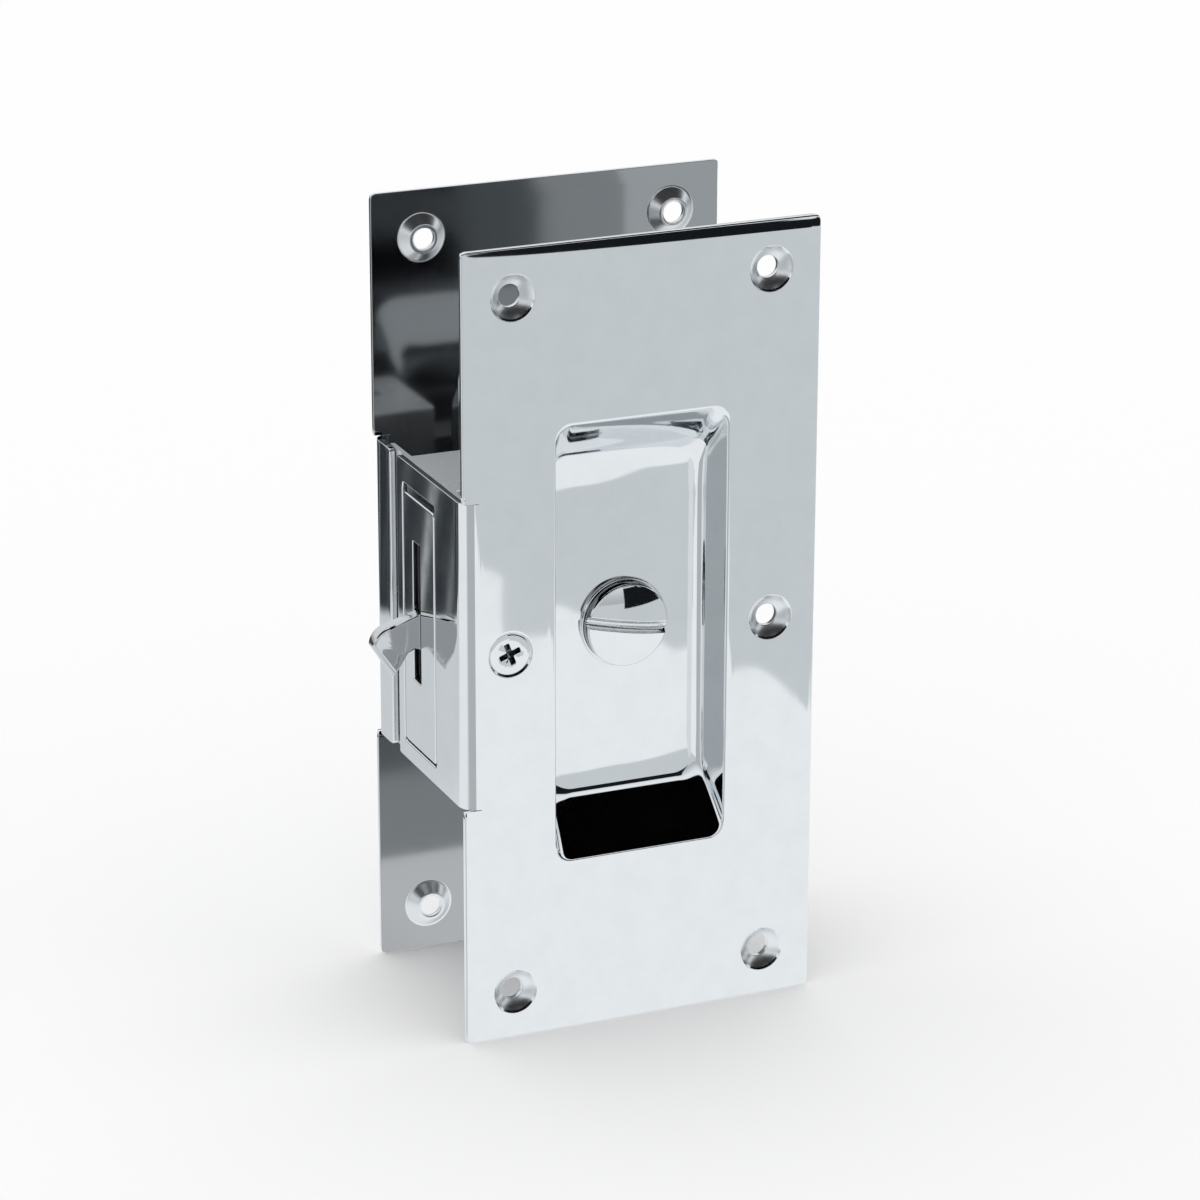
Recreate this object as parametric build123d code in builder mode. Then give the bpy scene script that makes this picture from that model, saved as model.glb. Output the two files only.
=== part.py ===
from build123d import *

import os
from math import asin, cos, degrees, hypot, radians, sin, sqrt, tan

# Pocket door lock: two pressed plates with flush pulls, one on each side of a sliding door, and a hook
# bolt that swings out of the door's edge between them.
# X runs along the door's face, away from its edge. Y runs into the door, from the outside face to the
# inside face. Z is up. The origin is on the front plate's outer face, on the axis of the turn.

# Driving sizes, in millimetres and degrees

# Door and plates
door_thickness = 44.45
pulled_apart = 3.3
sheet = 1.2
plate_width = 76.2
plate_height = 165.1
plate_corner_radius = 1.0
plate_edge_round = 0.35

# Screw holes, pressed as dimples
corner_hole_x = 27.4
corner_hole_z = 72.7
middle_hole_x = 28.2
screw_hole_radius = 2.25
dimple_radius = 4.7
dimple_angle = 90.0
dimple_depth = 3.0
dimple_back_radius = 3.1

# Cup of the flush pull
cup_width = 36.8
cup_height = 91.8
cup_depth = 9.5
cup_side_draft = 1.1
cup_end_slope = 45.0
cup_corner_radius = 3.2
cup_floor_round = 2.4
cup_lip_round = 0.8
cup_end_round = 11.0

# Side flanges, bent from the plates' left edges
flange_height = 64.0
front_flange_depth = 36.6
back_flange_depth = 10.1
bend_radius = 2.4
window_width = 17.7
window_height = 55.4
window_y = 24.25
window_z = -0.5
window_corner_radius = 0.8

# Folded channel behind the front flange
liner_sheet = 1.2
liner_start_y = 4.4
tongue_end_y = 43.4
tongue_relief = 0.3
channel_front_y = 9.4
channel_joint_y = 23.2
channel_back_y = 34.5
channel_reach = 17.6
channel_lap = 5.0
channel_bend_radius = 0.8
rivet_radius = 1.5
rivet_head_radius = 2.6
rivet_head_height = 0.8
rivet_head_taper = 30.0

# Lock case
case_front_y = 20.5
case_depth = 10.0
case_wall = 1.5
case_height = 48.0
case_right_x = 12.6
case_corner_radius = 2.0
face_gap = 0.5
face_gap_top = 1.7
face_sheet = 1.2
slot_bottom_z = -13.2
post_radius = 2.9
post_overlap = 0.6
top_post_x = -8.0
cover_screw_radius = 1.25
cover_screw_head_radius = 2.3
cover_screw_head_height = 1.2
cover_screw_length = 5.5
cover_screw_slot = 0.6
pillar_radius = 3.4
back_pillar_end_y = 40.0
pillar_foot_radius = 4.6

# Gear pair
gear_teeth = 16
gear_module = 1.5
pressure_angle = 25.0
tooth_backlash = 0.16
tooth_addendum = 0.9
tooth_dedendum = 1.2
gear_thickness = 3.5
gear_plane_y = 25.55
swing = 90.0
hub_boss_radius = 7.0
hub_rim_radius = 8.0
hub_journal_radius = 5.0
hub_journal_stand = 0.5

# Hook bolt
hook_pivot_drop = 4.5
hook_pin_radius = 2.0
hook_pin_head_radius = 2.7
hook_pin_head_height = 0.7
hook_pin_head_taper = 20.0
spacer_radius = 3.6
hook_boss_radius = 6.6
hook_reach = 10.0
hook_nose_rise = 0.7
hook_brow_reach = 9.23
hook_brow_rise = 2.79
hook_root_rise = 6.5
hook_root_drop = 0.8
hook_root_reach = 0.6
hook_shoulder_reach = 6.1
hook_shoulder_rise = 4.6
beak_tip_reach = 5.6
beak_tip_drop = 6.3
beak_hollow_reach = 3.75
beak_hollow_drop = 3.8
beak_throat_reach = 2.5
beak_throat_drop = 1.7
hook_edge_chamfer = 0.6
hook_chamfer_start = 1.0
hook_side_clearance = 0.3

# Clearances
running_gap = 0.06
face_clearance = 0.15
edge_pick = 0.01
mouth_pick = 0.1

# Turns and spindle
turn_radius = 8.75
turn_height = 3.4
turn_edge_round = 0.5
coin_slot_radius = 1.15
coin_slot_angle = -10.6
shank_radius = 5.0
shank_length = 6.6
bush_flange_radius = 9.3
bush_flange_height = 0.6
bush_radius = 6.5
bush_tail = 0.8
clip_thickness = 0.7
clip_radius = 7.4
clip_groove_radius = 4.3
clip_opening = 6.4
spindle_side = 5.0
spindle_fit = 0.05
spindle_chamfer = 0.4
socket_floor = 0.9
inside_disc_height = 2.6
blade_length = 14.6
blade_thickness = 3.6
blade_height = 5.0
blade_round = 1.2
blade_taper = 3.0

# Screws between the plates and the lock case
case_screw_radius = 2.0
case_screw_sink = 0.3
front_screw_length = 18.9
back_screw_length = 16.3
recess_width = 4.6
recess_slot = 1.15
recess_depth = 1.7
recess_taper = 12.0
recess_turn = 20.0

# Detent spring
spring_thickness = 0.5
spring_width = 3.0
spring_post_gap = 0.3
spring_foot_length = 7.0
spring_tail_length = 5.0
spring_tail_flare = 1.8
spring_nose_radius = 1.1
notch_radius = 1.3
notch_offset = 0.5

# Places worked out from the driving sizes
depth = door_thickness + 2 * sheet + pulled_apart
left_x = -plate_width / 2
cup_back_y = cup_depth + sheet
liner_x = left_x + sheet
liner_inner_x = liner_x + liner_sheet
channel_right_x = liner_x + channel_reach
channel_half = flange_height / 2
case_back_y = case_front_y + case_depth
cover_y = case_back_y - case_wall
case_floor_y = case_front_y + case_wall
case_left_x = liner_x
case_inner_left = case_left_x + case_wall
case_inner_right = case_right_x - case_wall
case_half = case_height / 2
case_inner_half = case_half - case_wall
face_width = window_width - 2 * face_gap
face_height = window_height - face_gap - face_gap_top
face_z = window_z + (face_gap - face_gap_top) / 2
gear_radius = gear_module * gear_teeth / 2
gear_outer = gear_radius + tooth_addendum * gear_module
gear_root = gear_radius - tooth_dedendum * gear_module
gear_base = gear_radius * cos(radians(pressure_angle))
gear_near_y = gear_plane_y - gear_thickness / 2
gear_far_y = gear_plane_y + gear_thickness / 2
tooth_pitch = 360.0 / gear_teeth
pivot_x = -sqrt((2 * gear_radius) ** 2 - hook_pivot_drop**2)
pivot_z = -hook_pivot_drop
centre_line = 180.0 + degrees(asin(hook_pivot_drop / (2 * gear_radius)))
hook_nose_x = left_x - hook_reach
hook_nose_z = pivot_z + hook_nose_rise
hook_swing_radius = hypot(hook_nose_x - pivot_x, hook_nose_z - pivot_z)
slot_width = gear_thickness + 2 * hook_side_clearance
turn_base = cup_depth - bush_flange_height
turn_face = turn_base - turn_height
shank_end = turn_base + shank_length
socket_end = turn_base - socket_floor
clip_start = cup_back_y + bush_tail + face_clearance
inside_disc_face = turn_base - inside_disc_height
inside_socket_end = inside_disc_face + socket_floor
spindle_start_y = socket_end + 2 * face_clearance
spindle_end_y = depth - inside_socket_end - pulled_apart - 2 * face_clearance
post_stand = post_radius - post_overlap
spring_foot_z = -case_inner_half + post_stand + post_radius + spring_post_gap
spring_bend_z = spring_foot_z + spring_foot_length
post_places = [
    (case_inner_left + post_stand, -case_inner_half + post_stand),
    (top_post_x, case_inner_half - post_stand),
    (case_inner_right - post_stand, case_inner_half - post_stand),
    (case_inner_right - post_stand, -case_inner_half + post_stand),
]
hole_places = [(x, z) for x in (-corner_hole_x, corner_hole_x) for z in (-corner_hole_z, corner_hole_z)]
hole_places += [(-middle_hole_x, 0), (middle_hole_x, 0)]


def facing(y):
    """A plane across the door at depth y, seen from outside: its x is X and its y is Z."""
    return Plane(origin=(0, y, 0), x_dir=(1, 0, 0), z_dir=(0, -1, 0))


def into_door(y):
    """The same plane seen from the other side, so that it grows into the door."""
    return Plane(origin=(0, y, 0), x_dir=(-1, 0, 0), z_dir=(0, 1, 0))


def edge_on(x):
    """A plane along the door's edge at x, seen from the edge: its x is -Y and its y is Z."""
    return Plane(origin=(x, 0, 0), x_dir=(0, -1, 0), z_dir=(-1, 0, 0))


def slot_top_z(x):
    """How high the hook's nose passes the plane at x while it swings, with its clearance."""
    return pivot_z + sqrt(hook_swing_radius**2 - (x - pivot_x) ** 2) + hook_side_clearance


# The two sides of the lock. An outer face looks out of the door, and its own depth runs into the door.
outside = facing(0)
inside = into_door(depth)


def at_depth(side, d):
    """The plane of a side moved d into the door, still looking out of the door."""
    return side.offset(-d)


def looking_in(side, d):
    """The plane at depth d of a side, looking into the door."""
    place = side.offset(-d)
    return Plane(origin=place.origin, x_dir=-place.x_dir, z_dir=-place.z_dir)


# Shapes that both plates use

def end_fillings(side, wall):
    """What the large rounds at the foot of a cup's two ends leave out, the full width of the cup."""
    bottom = cup_depth + wall
    foot = cup_height / 2 + wall / sin(radians(cup_end_slope)) - bottom / tan(radians(cup_end_slope))
    radius = cup_end_round + wall
    tangent = radius * tan(radians(cup_end_slope / 2))
    up_slope = (tangent * cos(radians(cup_end_slope)), -tangent * sin(radians(cup_end_slope)))
    bulge = radius / cos(radians(cup_end_slope / 2)) - radius
    half = radians(cup_end_slope / 2)
    into = -side.z_dir.Y
    start = side.origin.Y
    with BuildPart() as fillings:
        for end in (1, -1):
            corners = [
                (start + into * bottom, end * (foot - tangent)),
                (start + into * (bottom - bulge * cos(half)), end * (foot - bulge * sin(half))),
                (start + into * (bottom + up_slope[1]), end * (foot + up_slope[0])),
                (start + into * bottom, end * foot),
            ]
            with BuildSketch(Plane.YZ):
                with BuildLine():
                    ThreePointArc(*corners[:3])
                    Polyline(corners[2], corners[3], corners[0])
                make_face()
            extrude(amount=cup_width, both=True)
    return fillings.part


def cup_solid(side, wall):
    """The cup's inside (wall 0) or its outside (wall = sheet): drafted sides, sloped ends, round floor."""
    bottom = cup_depth + wall
    end_run = bottom / tan(radians(cup_end_slope))
    width = cup_width + 2 * wall
    height = cup_height + 2 * wall / sin(radians(cup_end_slope))
    with BuildPart() as cup:
        with BuildSketch(side):
            RectangleRounded(width, height, cup_corner_radius + wall)
        with BuildSketch(at_depth(side, bottom)):
            RectangleRounded(
                width - 2 * cup_side_draft * bottom / cup_depth,
                height - 2 * end_run,
                cup_corner_radius + wall,
            )
        loft()
        floor = cup.faces().filter_by(Axis.Y).sort_by(Axis.Y)[-1 if side is outside else 0]
        fillet(floor.edges(), radius=cup_floor_round + wall)
        add(end_fillings(side, wall), mode=Mode.SUBTRACT)
    return cup.part


def bent_edge(side, reach):
    """A plate's bent edge in plan: the outer face turns the bend and runs reach into the door."""
    sign = -side.z_dir.Y
    start = side.origin.Y
    outer = bend_radius + sheet
    mid = sin(radians(45))

    def at(along, into):
        return (left_x + along, start + sign * into)

    with BuildSketch(Plane.XY.offset(-flange_height / 2)) as profile:
        with BuildLine():
            Line(at(outer, 0), at(outer, sheet))
            ThreePointArc(
                at(outer, sheet),
                at(outer - bend_radius * mid, outer - bend_radius * mid),
                at(sheet, outer),
            )
            Polyline(at(sheet, outer), at(sheet, reach), at(0, reach), at(0, outer))
            ThreePointArc(at(0, outer), at(outer - outer * mid, outer - outer * mid), at(outer, 0))
        make_face()
    return profile.sketch


# Front plate

with BuildPart() as front_plate:
    with BuildSketch(outside):
        RectangleRounded(plate_width, plate_height, plate_corner_radius)
    extrude(amount=-sheet)
    fillet(front_plate.faces().sort_by(Axis.Y)[0].edges(), radius=plate_edge_round)
    with BuildSketch(outside):
        with Locations((left_x, 0)):
            Rectangle(bend_radius + sheet, flange_height, align=(Align.MIN, Align.CENTER))
    extrude(amount=-sheet, mode=Mode.SUBTRACT)
    extrude(bent_edge(outside, front_flange_depth), amount=flange_height)
    with BuildSketch(edge_on(left_x)):
        with Locations((-window_y, window_z)):
            RectangleRounded(window_width, window_height, window_corner_radius)
    extrude(amount=-2 * sheet, mode=Mode.SUBTRACT)
    add(cup_solid(outside, sheet))
    with BuildSketch(looking_in(outside, sheet)):
        with Locations(*hole_places):
            Circle(dimple_back_radius + dimple_depth - sheet)
    extrude(amount=dimple_depth - sheet, taper=dimple_angle / 2)
    add(cup_solid(outside, 0), mode=Mode.SUBTRACT)
    with Locations(outside):
        with Locations(*hole_places):
            CounterSinkHole(screw_hole_radius, dimple_radius, cup_depth, dimple_angle)
    with Locations(at_depth(outside, cup_depth)):
        Hole(bush_radius, depth=2 * sheet)
    mouth = front_plate.edges().filter_by_position(Axis.Y, -edge_pick, edge_pick)
    mouth = mouth.filter_by_position(Axis.X, -cup_width / 2 - mouth_pick, cup_width / 2 + mouth_pick)
    mouth = mouth.filter_by_position(Axis.Z, -cup_height / 2 - mouth_pick, cup_height / 2 + mouth_pick)
    fillet(mouth, radius=cup_lip_round)
front_plate.part.label = "front_plate"

# Back plate, the same pressing for the inside face, with a short flange

with BuildPart() as back_plate:
    with BuildSketch(inside):
        RectangleRounded(plate_width, plate_height, plate_corner_radius)
    extrude(amount=-sheet)
    fillet(back_plate.faces().sort_by(Axis.Y)[-1].edges(), radius=plate_edge_round)
    with BuildSketch(inside):
        with Locations((-left_x, 0)):
            Rectangle(bend_radius + sheet, flange_height, align=(Align.MAX, Align.CENTER))
    extrude(amount=-sheet, mode=Mode.SUBTRACT)
    extrude(bent_edge(inside, back_flange_depth), amount=flange_height)
    add(cup_solid(inside, sheet))
    with BuildSketch(looking_in(inside, sheet)):
        with Locations(*hole_places):
            Circle(dimple_back_radius + dimple_depth - sheet)
    extrude(amount=dimple_depth - sheet, taper=dimple_angle / 2)
    add(cup_solid(inside, 0), mode=Mode.SUBTRACT)
    with Locations(inside):
        with Locations(*hole_places):
            CounterSinkHole(screw_hole_radius, dimple_radius, cup_depth, dimple_angle)
    with Locations(at_depth(inside, cup_depth)):
        Hole(bush_radius, depth=2 * sheet)
    mouth = back_plate.edges().filter_by_position(Axis.Y, depth - edge_pick, depth + edge_pick)
    mouth = mouth.filter_by_position(Axis.X, -cup_width / 2 - mouth_pick, cup_width / 2 + mouth_pick)
    mouth = mouth.filter_by_position(Axis.Z, -cup_height / 2 - mouth_pick, cup_height / 2 + mouth_pick)
    fillet(mouth, radius=cup_lip_round)
back_plate.part.label = "back_plate"

# Guide channel: liner behind the front flange, with its top, bottom and front walls folded from it. The
# liner runs on into the back half as a tongue.

with BuildPart() as guide_channel:
    with BuildSketch(edge_on(liner_x)):
        with Locations((-liner_start_y, 0)):
            Rectangle(tongue_end_y - liner_start_y, flange_height, align=(Align.MAX, Align.CENTER))
    extrude(amount=-liner_sheet)
    with BuildSketch(facing(channel_front_y)):
        with Locations((liner_x, 0)):
            Rectangle(channel_reach, flange_height, align=(Align.MIN, Align.CENTER))
    extrude(amount=-(channel_joint_y - channel_front_y))
    with BuildSketch(facing(channel_joint_y)):
        with Locations((liner_inner_x, 0)):
            Rectangle(
                channel_reach,
                flange_height - 2 * liner_sheet,
                align=(Align.MIN, Align.CENTER),
            )
    extrude(amount=channel_joint_y - channel_front_y - liner_sheet, mode=Mode.SUBTRACT)
    outer_folds = guide_channel.edges().filter_by(Axis.X).filter_by_position(
        Axis.Y, channel_front_y - edge_pick, channel_front_y + edge_pick
    )
    fillet(outer_folds.group_by(Axis.Z)[0] + outer_folds.group_by(Axis.Z)[-1], radius=channel_bend_radius)
    with BuildSketch(edge_on(liner_x)):
        with Locations((-window_y, window_z)):
            RectangleRounded(window_width, window_height, window_corner_radius)
    extrude(amount=-liner_sheet, mode=Mode.SUBTRACT)
    with BuildSketch(edge_on(liner_x)):
        with Locations((-front_flange_depth, 0)):
            Rectangle(tongue_end_y - front_flange_depth, flange_height, align=(Align.MAX, Align.CENTER))
    extrude(amount=-tongue_relief, mode=Mode.SUBTRACT)
    with Locations(facing(channel_front_y)):
        with Locations((-middle_hole_x, 0)):
            Hole(screw_hole_radius, depth=liner_sheet)
    with Locations(Plane.XY.offset(channel_half)):
        with Locations(((liner_inner_x + channel_right_x) / 2, channel_joint_y - channel_lap / 2)):
            Hole(rivet_radius)
guide_channel.part.label = "guide_channel"

# Rear bracket: the back of the channel, lapped under the guide channel's walls and riveted to them

with BuildPart() as rear_bracket:
    with BuildSketch(facing(channel_back_y)):
        with Locations((liner_inner_x, 0)):
            Rectangle(channel_right_x - liner_inner_x, flange_height, align=(Align.MIN, Align.CENTER))
    extrude(amount=channel_back_y - channel_joint_y)
    with BuildSketch(facing(channel_back_y)):
        with Locations((liner_inner_x, 0)):
            Rectangle(
                channel_right_x - liner_inner_x,
                flange_height - 2 * liner_sheet,
                align=(Align.MIN, Align.CENTER),
            )
    extrude(amount=channel_back_y - channel_joint_y + channel_lap)
    with BuildSketch(facing(channel_back_y - liner_sheet)):
        with Locations((liner_inner_x, 0)):
            Rectangle(
                channel_right_x - liner_inner_x,
                flange_height - 4 * liner_sheet,
                align=(Align.MIN, Align.CENTER),
            )
    extrude(amount=channel_back_y + channel_lap, mode=Mode.SUBTRACT)
    outer_folds = rear_bracket.edges().filter_by(Axis.X).filter_by_position(
        Axis.Y, channel_back_y - edge_pick, channel_back_y + edge_pick
    )
    fillet(outer_folds.group_by(Axis.Z)[0] + outer_folds.group_by(Axis.Z)[-1], radius=channel_bend_radius)
    with Locations(facing(channel_back_y - liner_sheet)):
        with Locations((-middle_hole_x, 0)):
            Hole(pillar_radius + running_gap, depth=2 * liner_sheet)
    with Locations(Plane.XY.offset(channel_half)):
        with Locations(((liner_inner_x + channel_right_x) / 2, channel_joint_y - channel_lap / 2)):
            Hole(rivet_radius)
rear_bracket.part.label = "rear_bracket"

# Rivets of the channel, flush outside and headed inside, at the top and the bottom

with BuildPart() as channel_rivets:
    for end in (1, -1):
        outer_end = Plane(
            origin=((liner_inner_x + channel_right_x) / 2, channel_joint_y - channel_lap / 2, end * channel_half),
            x_dir=(1, 0, 0),
            z_dir=(0, 0, -end),
        )
        with BuildSketch(outer_end):
            Circle(rivet_radius)
        extrude(amount=2 * liner_sheet)
        with BuildSketch(outer_end.offset(2 * liner_sheet)):
            Circle(rivet_head_radius)
        extrude(amount=rivet_head_height, taper=rivet_head_taper)
channel_rivets.part.label = "channel_rivets"

# Lock case: cast tray with its screw pillar, posts and edge wall

with BuildPart() as case_body:
    case_middle = (case_left_x + case_right_x) / 2
    with BuildSketch(facing(cover_y)):
        with Locations((case_middle, 0)):
            Rectangle(case_right_x - case_left_x, case_height)
    extrude(amount=cover_y - case_front_y)
    right_corners = case_body.edges().filter_by(Axis.Y).group_by(Axis.X)[-1]
    fillet(right_corners, radius=case_corner_radius)
    with BuildSketch(facing(cover_y)):
        with Locations((case_middle, 0)):
            Rectangle(case_inner_right - case_inner_left, 2 * case_inner_half)
    extrude(amount=cover_y - case_floor_y, mode=Mode.SUBTRACT)
    with BuildSketch(facing(cover_y)):
        with Locations(*post_places):
            Circle(post_radius)
    extrude(amount=cover_y - case_floor_y)
    with Locations(facing(cover_y)):
        with Locations(*post_places):
            Hole(cover_screw_radius, depth=cover_screw_length)
    with BuildSketch(facing(case_front_y)):
        with Locations((-middle_hole_x, 0)):
            Circle(pillar_radius)
    extrude(amount=case_front_y - channel_front_y - liner_sheet)
    with Locations(facing(channel_front_y + liner_sheet)):
        with Locations((-middle_hole_x, 0)):
            Hole(case_screw_radius + running_gap, depth=case_front_y - channel_front_y - liner_sheet)
    with Locations(facing(case_front_y)):
        Hole(hub_journal_radius + running_gap, depth=case_wall)
        with Locations((pivot_x, pivot_z)):
            Hole(hook_pin_radius, depth=case_wall)
    slot_top = slot_top_z(case_inner_left)
    with BuildSketch(edge_on(case_left_x)):
        with Locations((-gear_plane_y, slot_bottom_z)):
            Rectangle(slot_width, slot_top - slot_bottom_z, align=(Align.CENTER, Align.MIN))
    extrude(amount=-case_wall, mode=Mode.SUBTRACT)
case_body.part.label = "case_body"

# Case cover, with the pillar for the back plate's screw

with BuildPart() as case_cover:
    with BuildSketch(facing(case_back_y)):
        with Locations((case_middle, 0)):
            Rectangle(case_right_x - case_left_x, case_height)
    extrude(amount=case_wall)
    fillet(case_cover.edges().filter_by(Axis.Y).group_by(Axis.X)[-1], radius=case_corner_radius)
    with BuildSketch(into_door(case_back_y)):
        with Locations((middle_hole_x, 0)):
            Circle(pillar_foot_radius)
    extrude(amount=channel_back_y - liner_sheet - case_back_y)
    with BuildSketch(into_door(channel_back_y - liner_sheet)):
        with Locations((middle_hole_x, 0)):
            Circle(pillar_radius)
    extrude(amount=back_pillar_end_y - channel_back_y + liner_sheet)
    back_screw_tip_y = depth - case_screw_sink - back_screw_length
    with Locations(into_door(back_pillar_end_y)):
        with Locations((middle_hole_x, 0)):
            Hole(
                case_screw_radius + running_gap,
                depth=back_pillar_end_y - back_screw_tip_y + pulled_apart + 2 * face_clearance,
            )
    with Locations(facing(cover_y)):
        Hole(hub_journal_radius + running_gap, depth=case_wall)
        with Locations((pivot_x, pivot_z)):
            Hole(hook_pin_radius, depth=case_wall)
        with Locations(*post_places):
            Hole(cover_screw_radius, depth=case_wall)
case_cover.part.label = "case_cover"

# Case face: the strip that fills the flange's window, with the hook's slot

with BuildPart() as case_face:
    with BuildSketch(edge_on(left_x)):
        with Locations((-window_y, face_z)):
            RectangleRounded(face_width, face_height, window_corner_radius)
        with Locations((-gear_plane_y, slot_bottom_z)):
            Rectangle(
                slot_width,
                slot_top_z(left_x + face_sheet) - slot_bottom_z,
                align=(Align.CENTER, Align.MIN),
                mode=Mode.SUBTRACT,
            )
    extrude(amount=-face_sheet)
case_face.part.label = "case_face"

# Screws of the cover

with BuildPart() as cover_screws:
    with BuildSketch(facing(case_back_y)):
        with Locations(*post_places):
            Circle(cover_screw_radius)
    extrude(amount=cover_screw_length)
    with BuildSketch(into_door(case_back_y)):
        with Locations(*[(-x, z) for x, z in post_places]):
            Circle(cover_screw_head_radius)
    extrude(amount=cover_screw_head_height)
    with BuildSketch(into_door(case_back_y + cover_screw_head_height)):
        with Locations(*[(-x, z) for x, z in post_places]):
            Rectangle(2 * cover_screw_head_radius, cover_screw_slot)
    extrude(amount=-cover_screw_head_height / 2, mode=Mode.SUBTRACT)
cover_screws.part.label = "cover_screws"


# Gear teeth shared by the hub and the hook

def involute(angle):
    """The involute function of a pressure angle in radians, in degrees."""
    return degrees(tan(angle) - angle)


def tooth(centre_angle):
    """One tooth about the local origin: two involute flanks, a round tip and a foot inside the root."""
    half_at_pitch = tooth_pitch / 4 - degrees(tooth_backlash / 2 / gear_radius)
    rolled = involute(radians(pressure_angle))

    def flank_point(radius, side):
        rise = 0.0 if radius <= gear_base else involute(acos_ratio(radius))
        spread = half_at_pitch + rolled - rise
        turned = radians(centre_angle + side * spread)
        return (radius * cos(turned), radius * sin(turned))

    def acos_ratio(radius):
        return radians(90 - degrees(asin(gear_base / radius)))

    steps = [gear_base + (gear_outer - gear_base) * k / 3 for k in range(4)]
    foot = gear_root - gear_module
    tip = (gear_outer * cos(radians(centre_angle)), gear_outer * sin(radians(centre_angle)))
    with BuildSketch() as one:
        with BuildLine():
            Line(flank_point(foot, -1), flank_point(gear_base, -1))
            Spline(*[flank_point(r, -1) for r in steps])
            ThreePointArc(flank_point(gear_outer, -1), tip, flank_point(gear_outer, 1))
            Spline(*[flank_point(r, 1) for r in reversed(steps)])
            Line(flank_point(gear_base, 1), flank_point(foot, 1))
            Line(flank_point(foot, 1), flank_point(foot, -1))
        make_face()
    return one.sketch


def sector(first, count):
    """Count teeth from the angle first on, on a sector of the root circle."""
    with BuildSketch() as teeth:
        with BuildLine():
            start = first - tooth_pitch / 2
            rim = CenterArc((0, 0), gear_root, start, count * tooth_pitch)
            Polyline(rim @ 1, (0, 0), rim @ 0)
        make_face()
        for k in range(count):
            add(tooth(first + k * tooth_pitch))
    return teeth.sketch


# Teeth that come into mesh over the swing, with one to spare at each end. The hub's swing brings its
# teeth down to the line of centres, and has a tooth on it at rest, where the hook has a gap.
sector_teeth = int(swing / tooth_pitch) + 3
hub_first = centre_line - (sector_teeth - 2) * tooth_pitch
hook_first = centre_line - 180.0 - 1.5 * tooth_pitch

# Hub: toothed sector, boss between the case's walls, journals in them and a square hole

with BuildPart() as hub:
    with BuildSketch(facing(gear_far_y)):
        Circle(hub_rim_radius)
        add(sector(hub_first, sector_teeth))
        with PolarLocations(hub_rim_radius + notch_offset, 2, -swing, swing, endpoint=True):
            Circle(notch_radius, mode=Mode.SUBTRACT)
    extrude(amount=gear_thickness)
    with BuildSketch(facing(cover_y - face_clearance)):
        Circle(hub_boss_radius)
    extrude(amount=cover_y - case_floor_y - 2 * face_clearance)
    with BuildSketch(facing(case_back_y + hub_journal_stand)):
        Circle(hub_journal_radius)
    extrude(amount=case_depth + 2 * hub_journal_stand)
    with BuildSketch(facing(case_back_y + hub_journal_stand)):
        Rectangle(spindle_side + 2 * spindle_fit, spindle_side + 2 * spindle_fit)
    extrude(amount=case_depth + 2 * hub_journal_stand, mode=Mode.SUBTRACT)
hub.part.label = "hub"

# Hook bolt: arm with its beak, and the sector that meshes with the hub


def from_root(reach, rise):
    """A point of the hook's outline: reach out of the door's edge, and rise above the pivot."""
    return (left_x - reach, pivot_z + rise)


with BuildPart() as hook_bolt:
    with BuildSketch(facing(gear_far_y)):
        with Locations((pivot_x, pivot_z)):
            Circle(hook_boss_radius)
            add(sector(hook_first, sector_teeth))
        with BuildLine():
            arm_top = Polyline(
                (pivot_x, pivot_z + hook_boss_radius),
                from_root(0, hook_root_rise),
                from_root(hook_shoulder_reach, hook_shoulder_rise),
            )
            nose = ThreePointArc(
                arm_top @ 1,
                from_root(hook_brow_reach, hook_brow_rise),
                from_root(hook_reach, hook_nose_rise),
            )
            beak = Line(nose @ 1, from_root(beak_tip_reach, -beak_tip_drop))
            throat = ThreePointArc(
                beak @ 1,
                from_root(beak_hollow_reach, -beak_hollow_drop),
                from_root(beak_throat_reach, -beak_throat_drop),
            )
            Polyline(
                throat @ 1,
                from_root(hook_root_reach, -hook_root_drop),
                (pivot_x, pivot_z - hook_boss_radius),
                (pivot_x, pivot_z + hook_boss_radius),
            )
        make_face()
    extrude(amount=gear_thickness)
    nose_edges = hook_bolt.edges().filter_by_position(
        Axis.X, hook_nose_x - hook_chamfer_start, left_x - hook_chamfer_start
    )
    nose_edges = nose_edges.group_by(Axis.Y)
    chamfer(nose_edges[0] + nose_edges[-1], length=hook_edge_chamfer)
    with Locations(facing(gear_near_y)):
        with Locations((pivot_x, pivot_z)):
            Hole(hook_pin_radius + running_gap)
hook_bolt.part.label = "hook_bolt"

# Pivot pin of the hook and the spacers that centre it

with BuildPart() as hook_pin:
    with BuildSketch(facing(case_back_y)):
        with Locations((pivot_x, pivot_z)):
            Circle(hook_pin_radius)
    extrude(amount=case_depth)
    with BuildSketch(facing(case_front_y)):
        with Locations((pivot_x, pivot_z)):
            Circle(hook_pin_head_radius)
    extrude(amount=hook_pin_head_height, taper=hook_pin_head_taper)
hook_pin.part.label = "hook_pin"

with BuildPart() as pivot_spacers:
    with BuildSketch(facing(cover_y), facing(gear_near_y - face_clearance)):
        with Locations((pivot_x, pivot_z)):
            Circle(spacer_radius)
            Circle(hook_pin_radius + running_gap, mode=Mode.SUBTRACT)
    extrude(amount=gear_near_y - face_clearance - case_floor_y)
pivot_spacers.part.label = "pivot_spacers"

# Detent spring: a leaf on the case's right wall, its nose in one of the hub's notches

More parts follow.
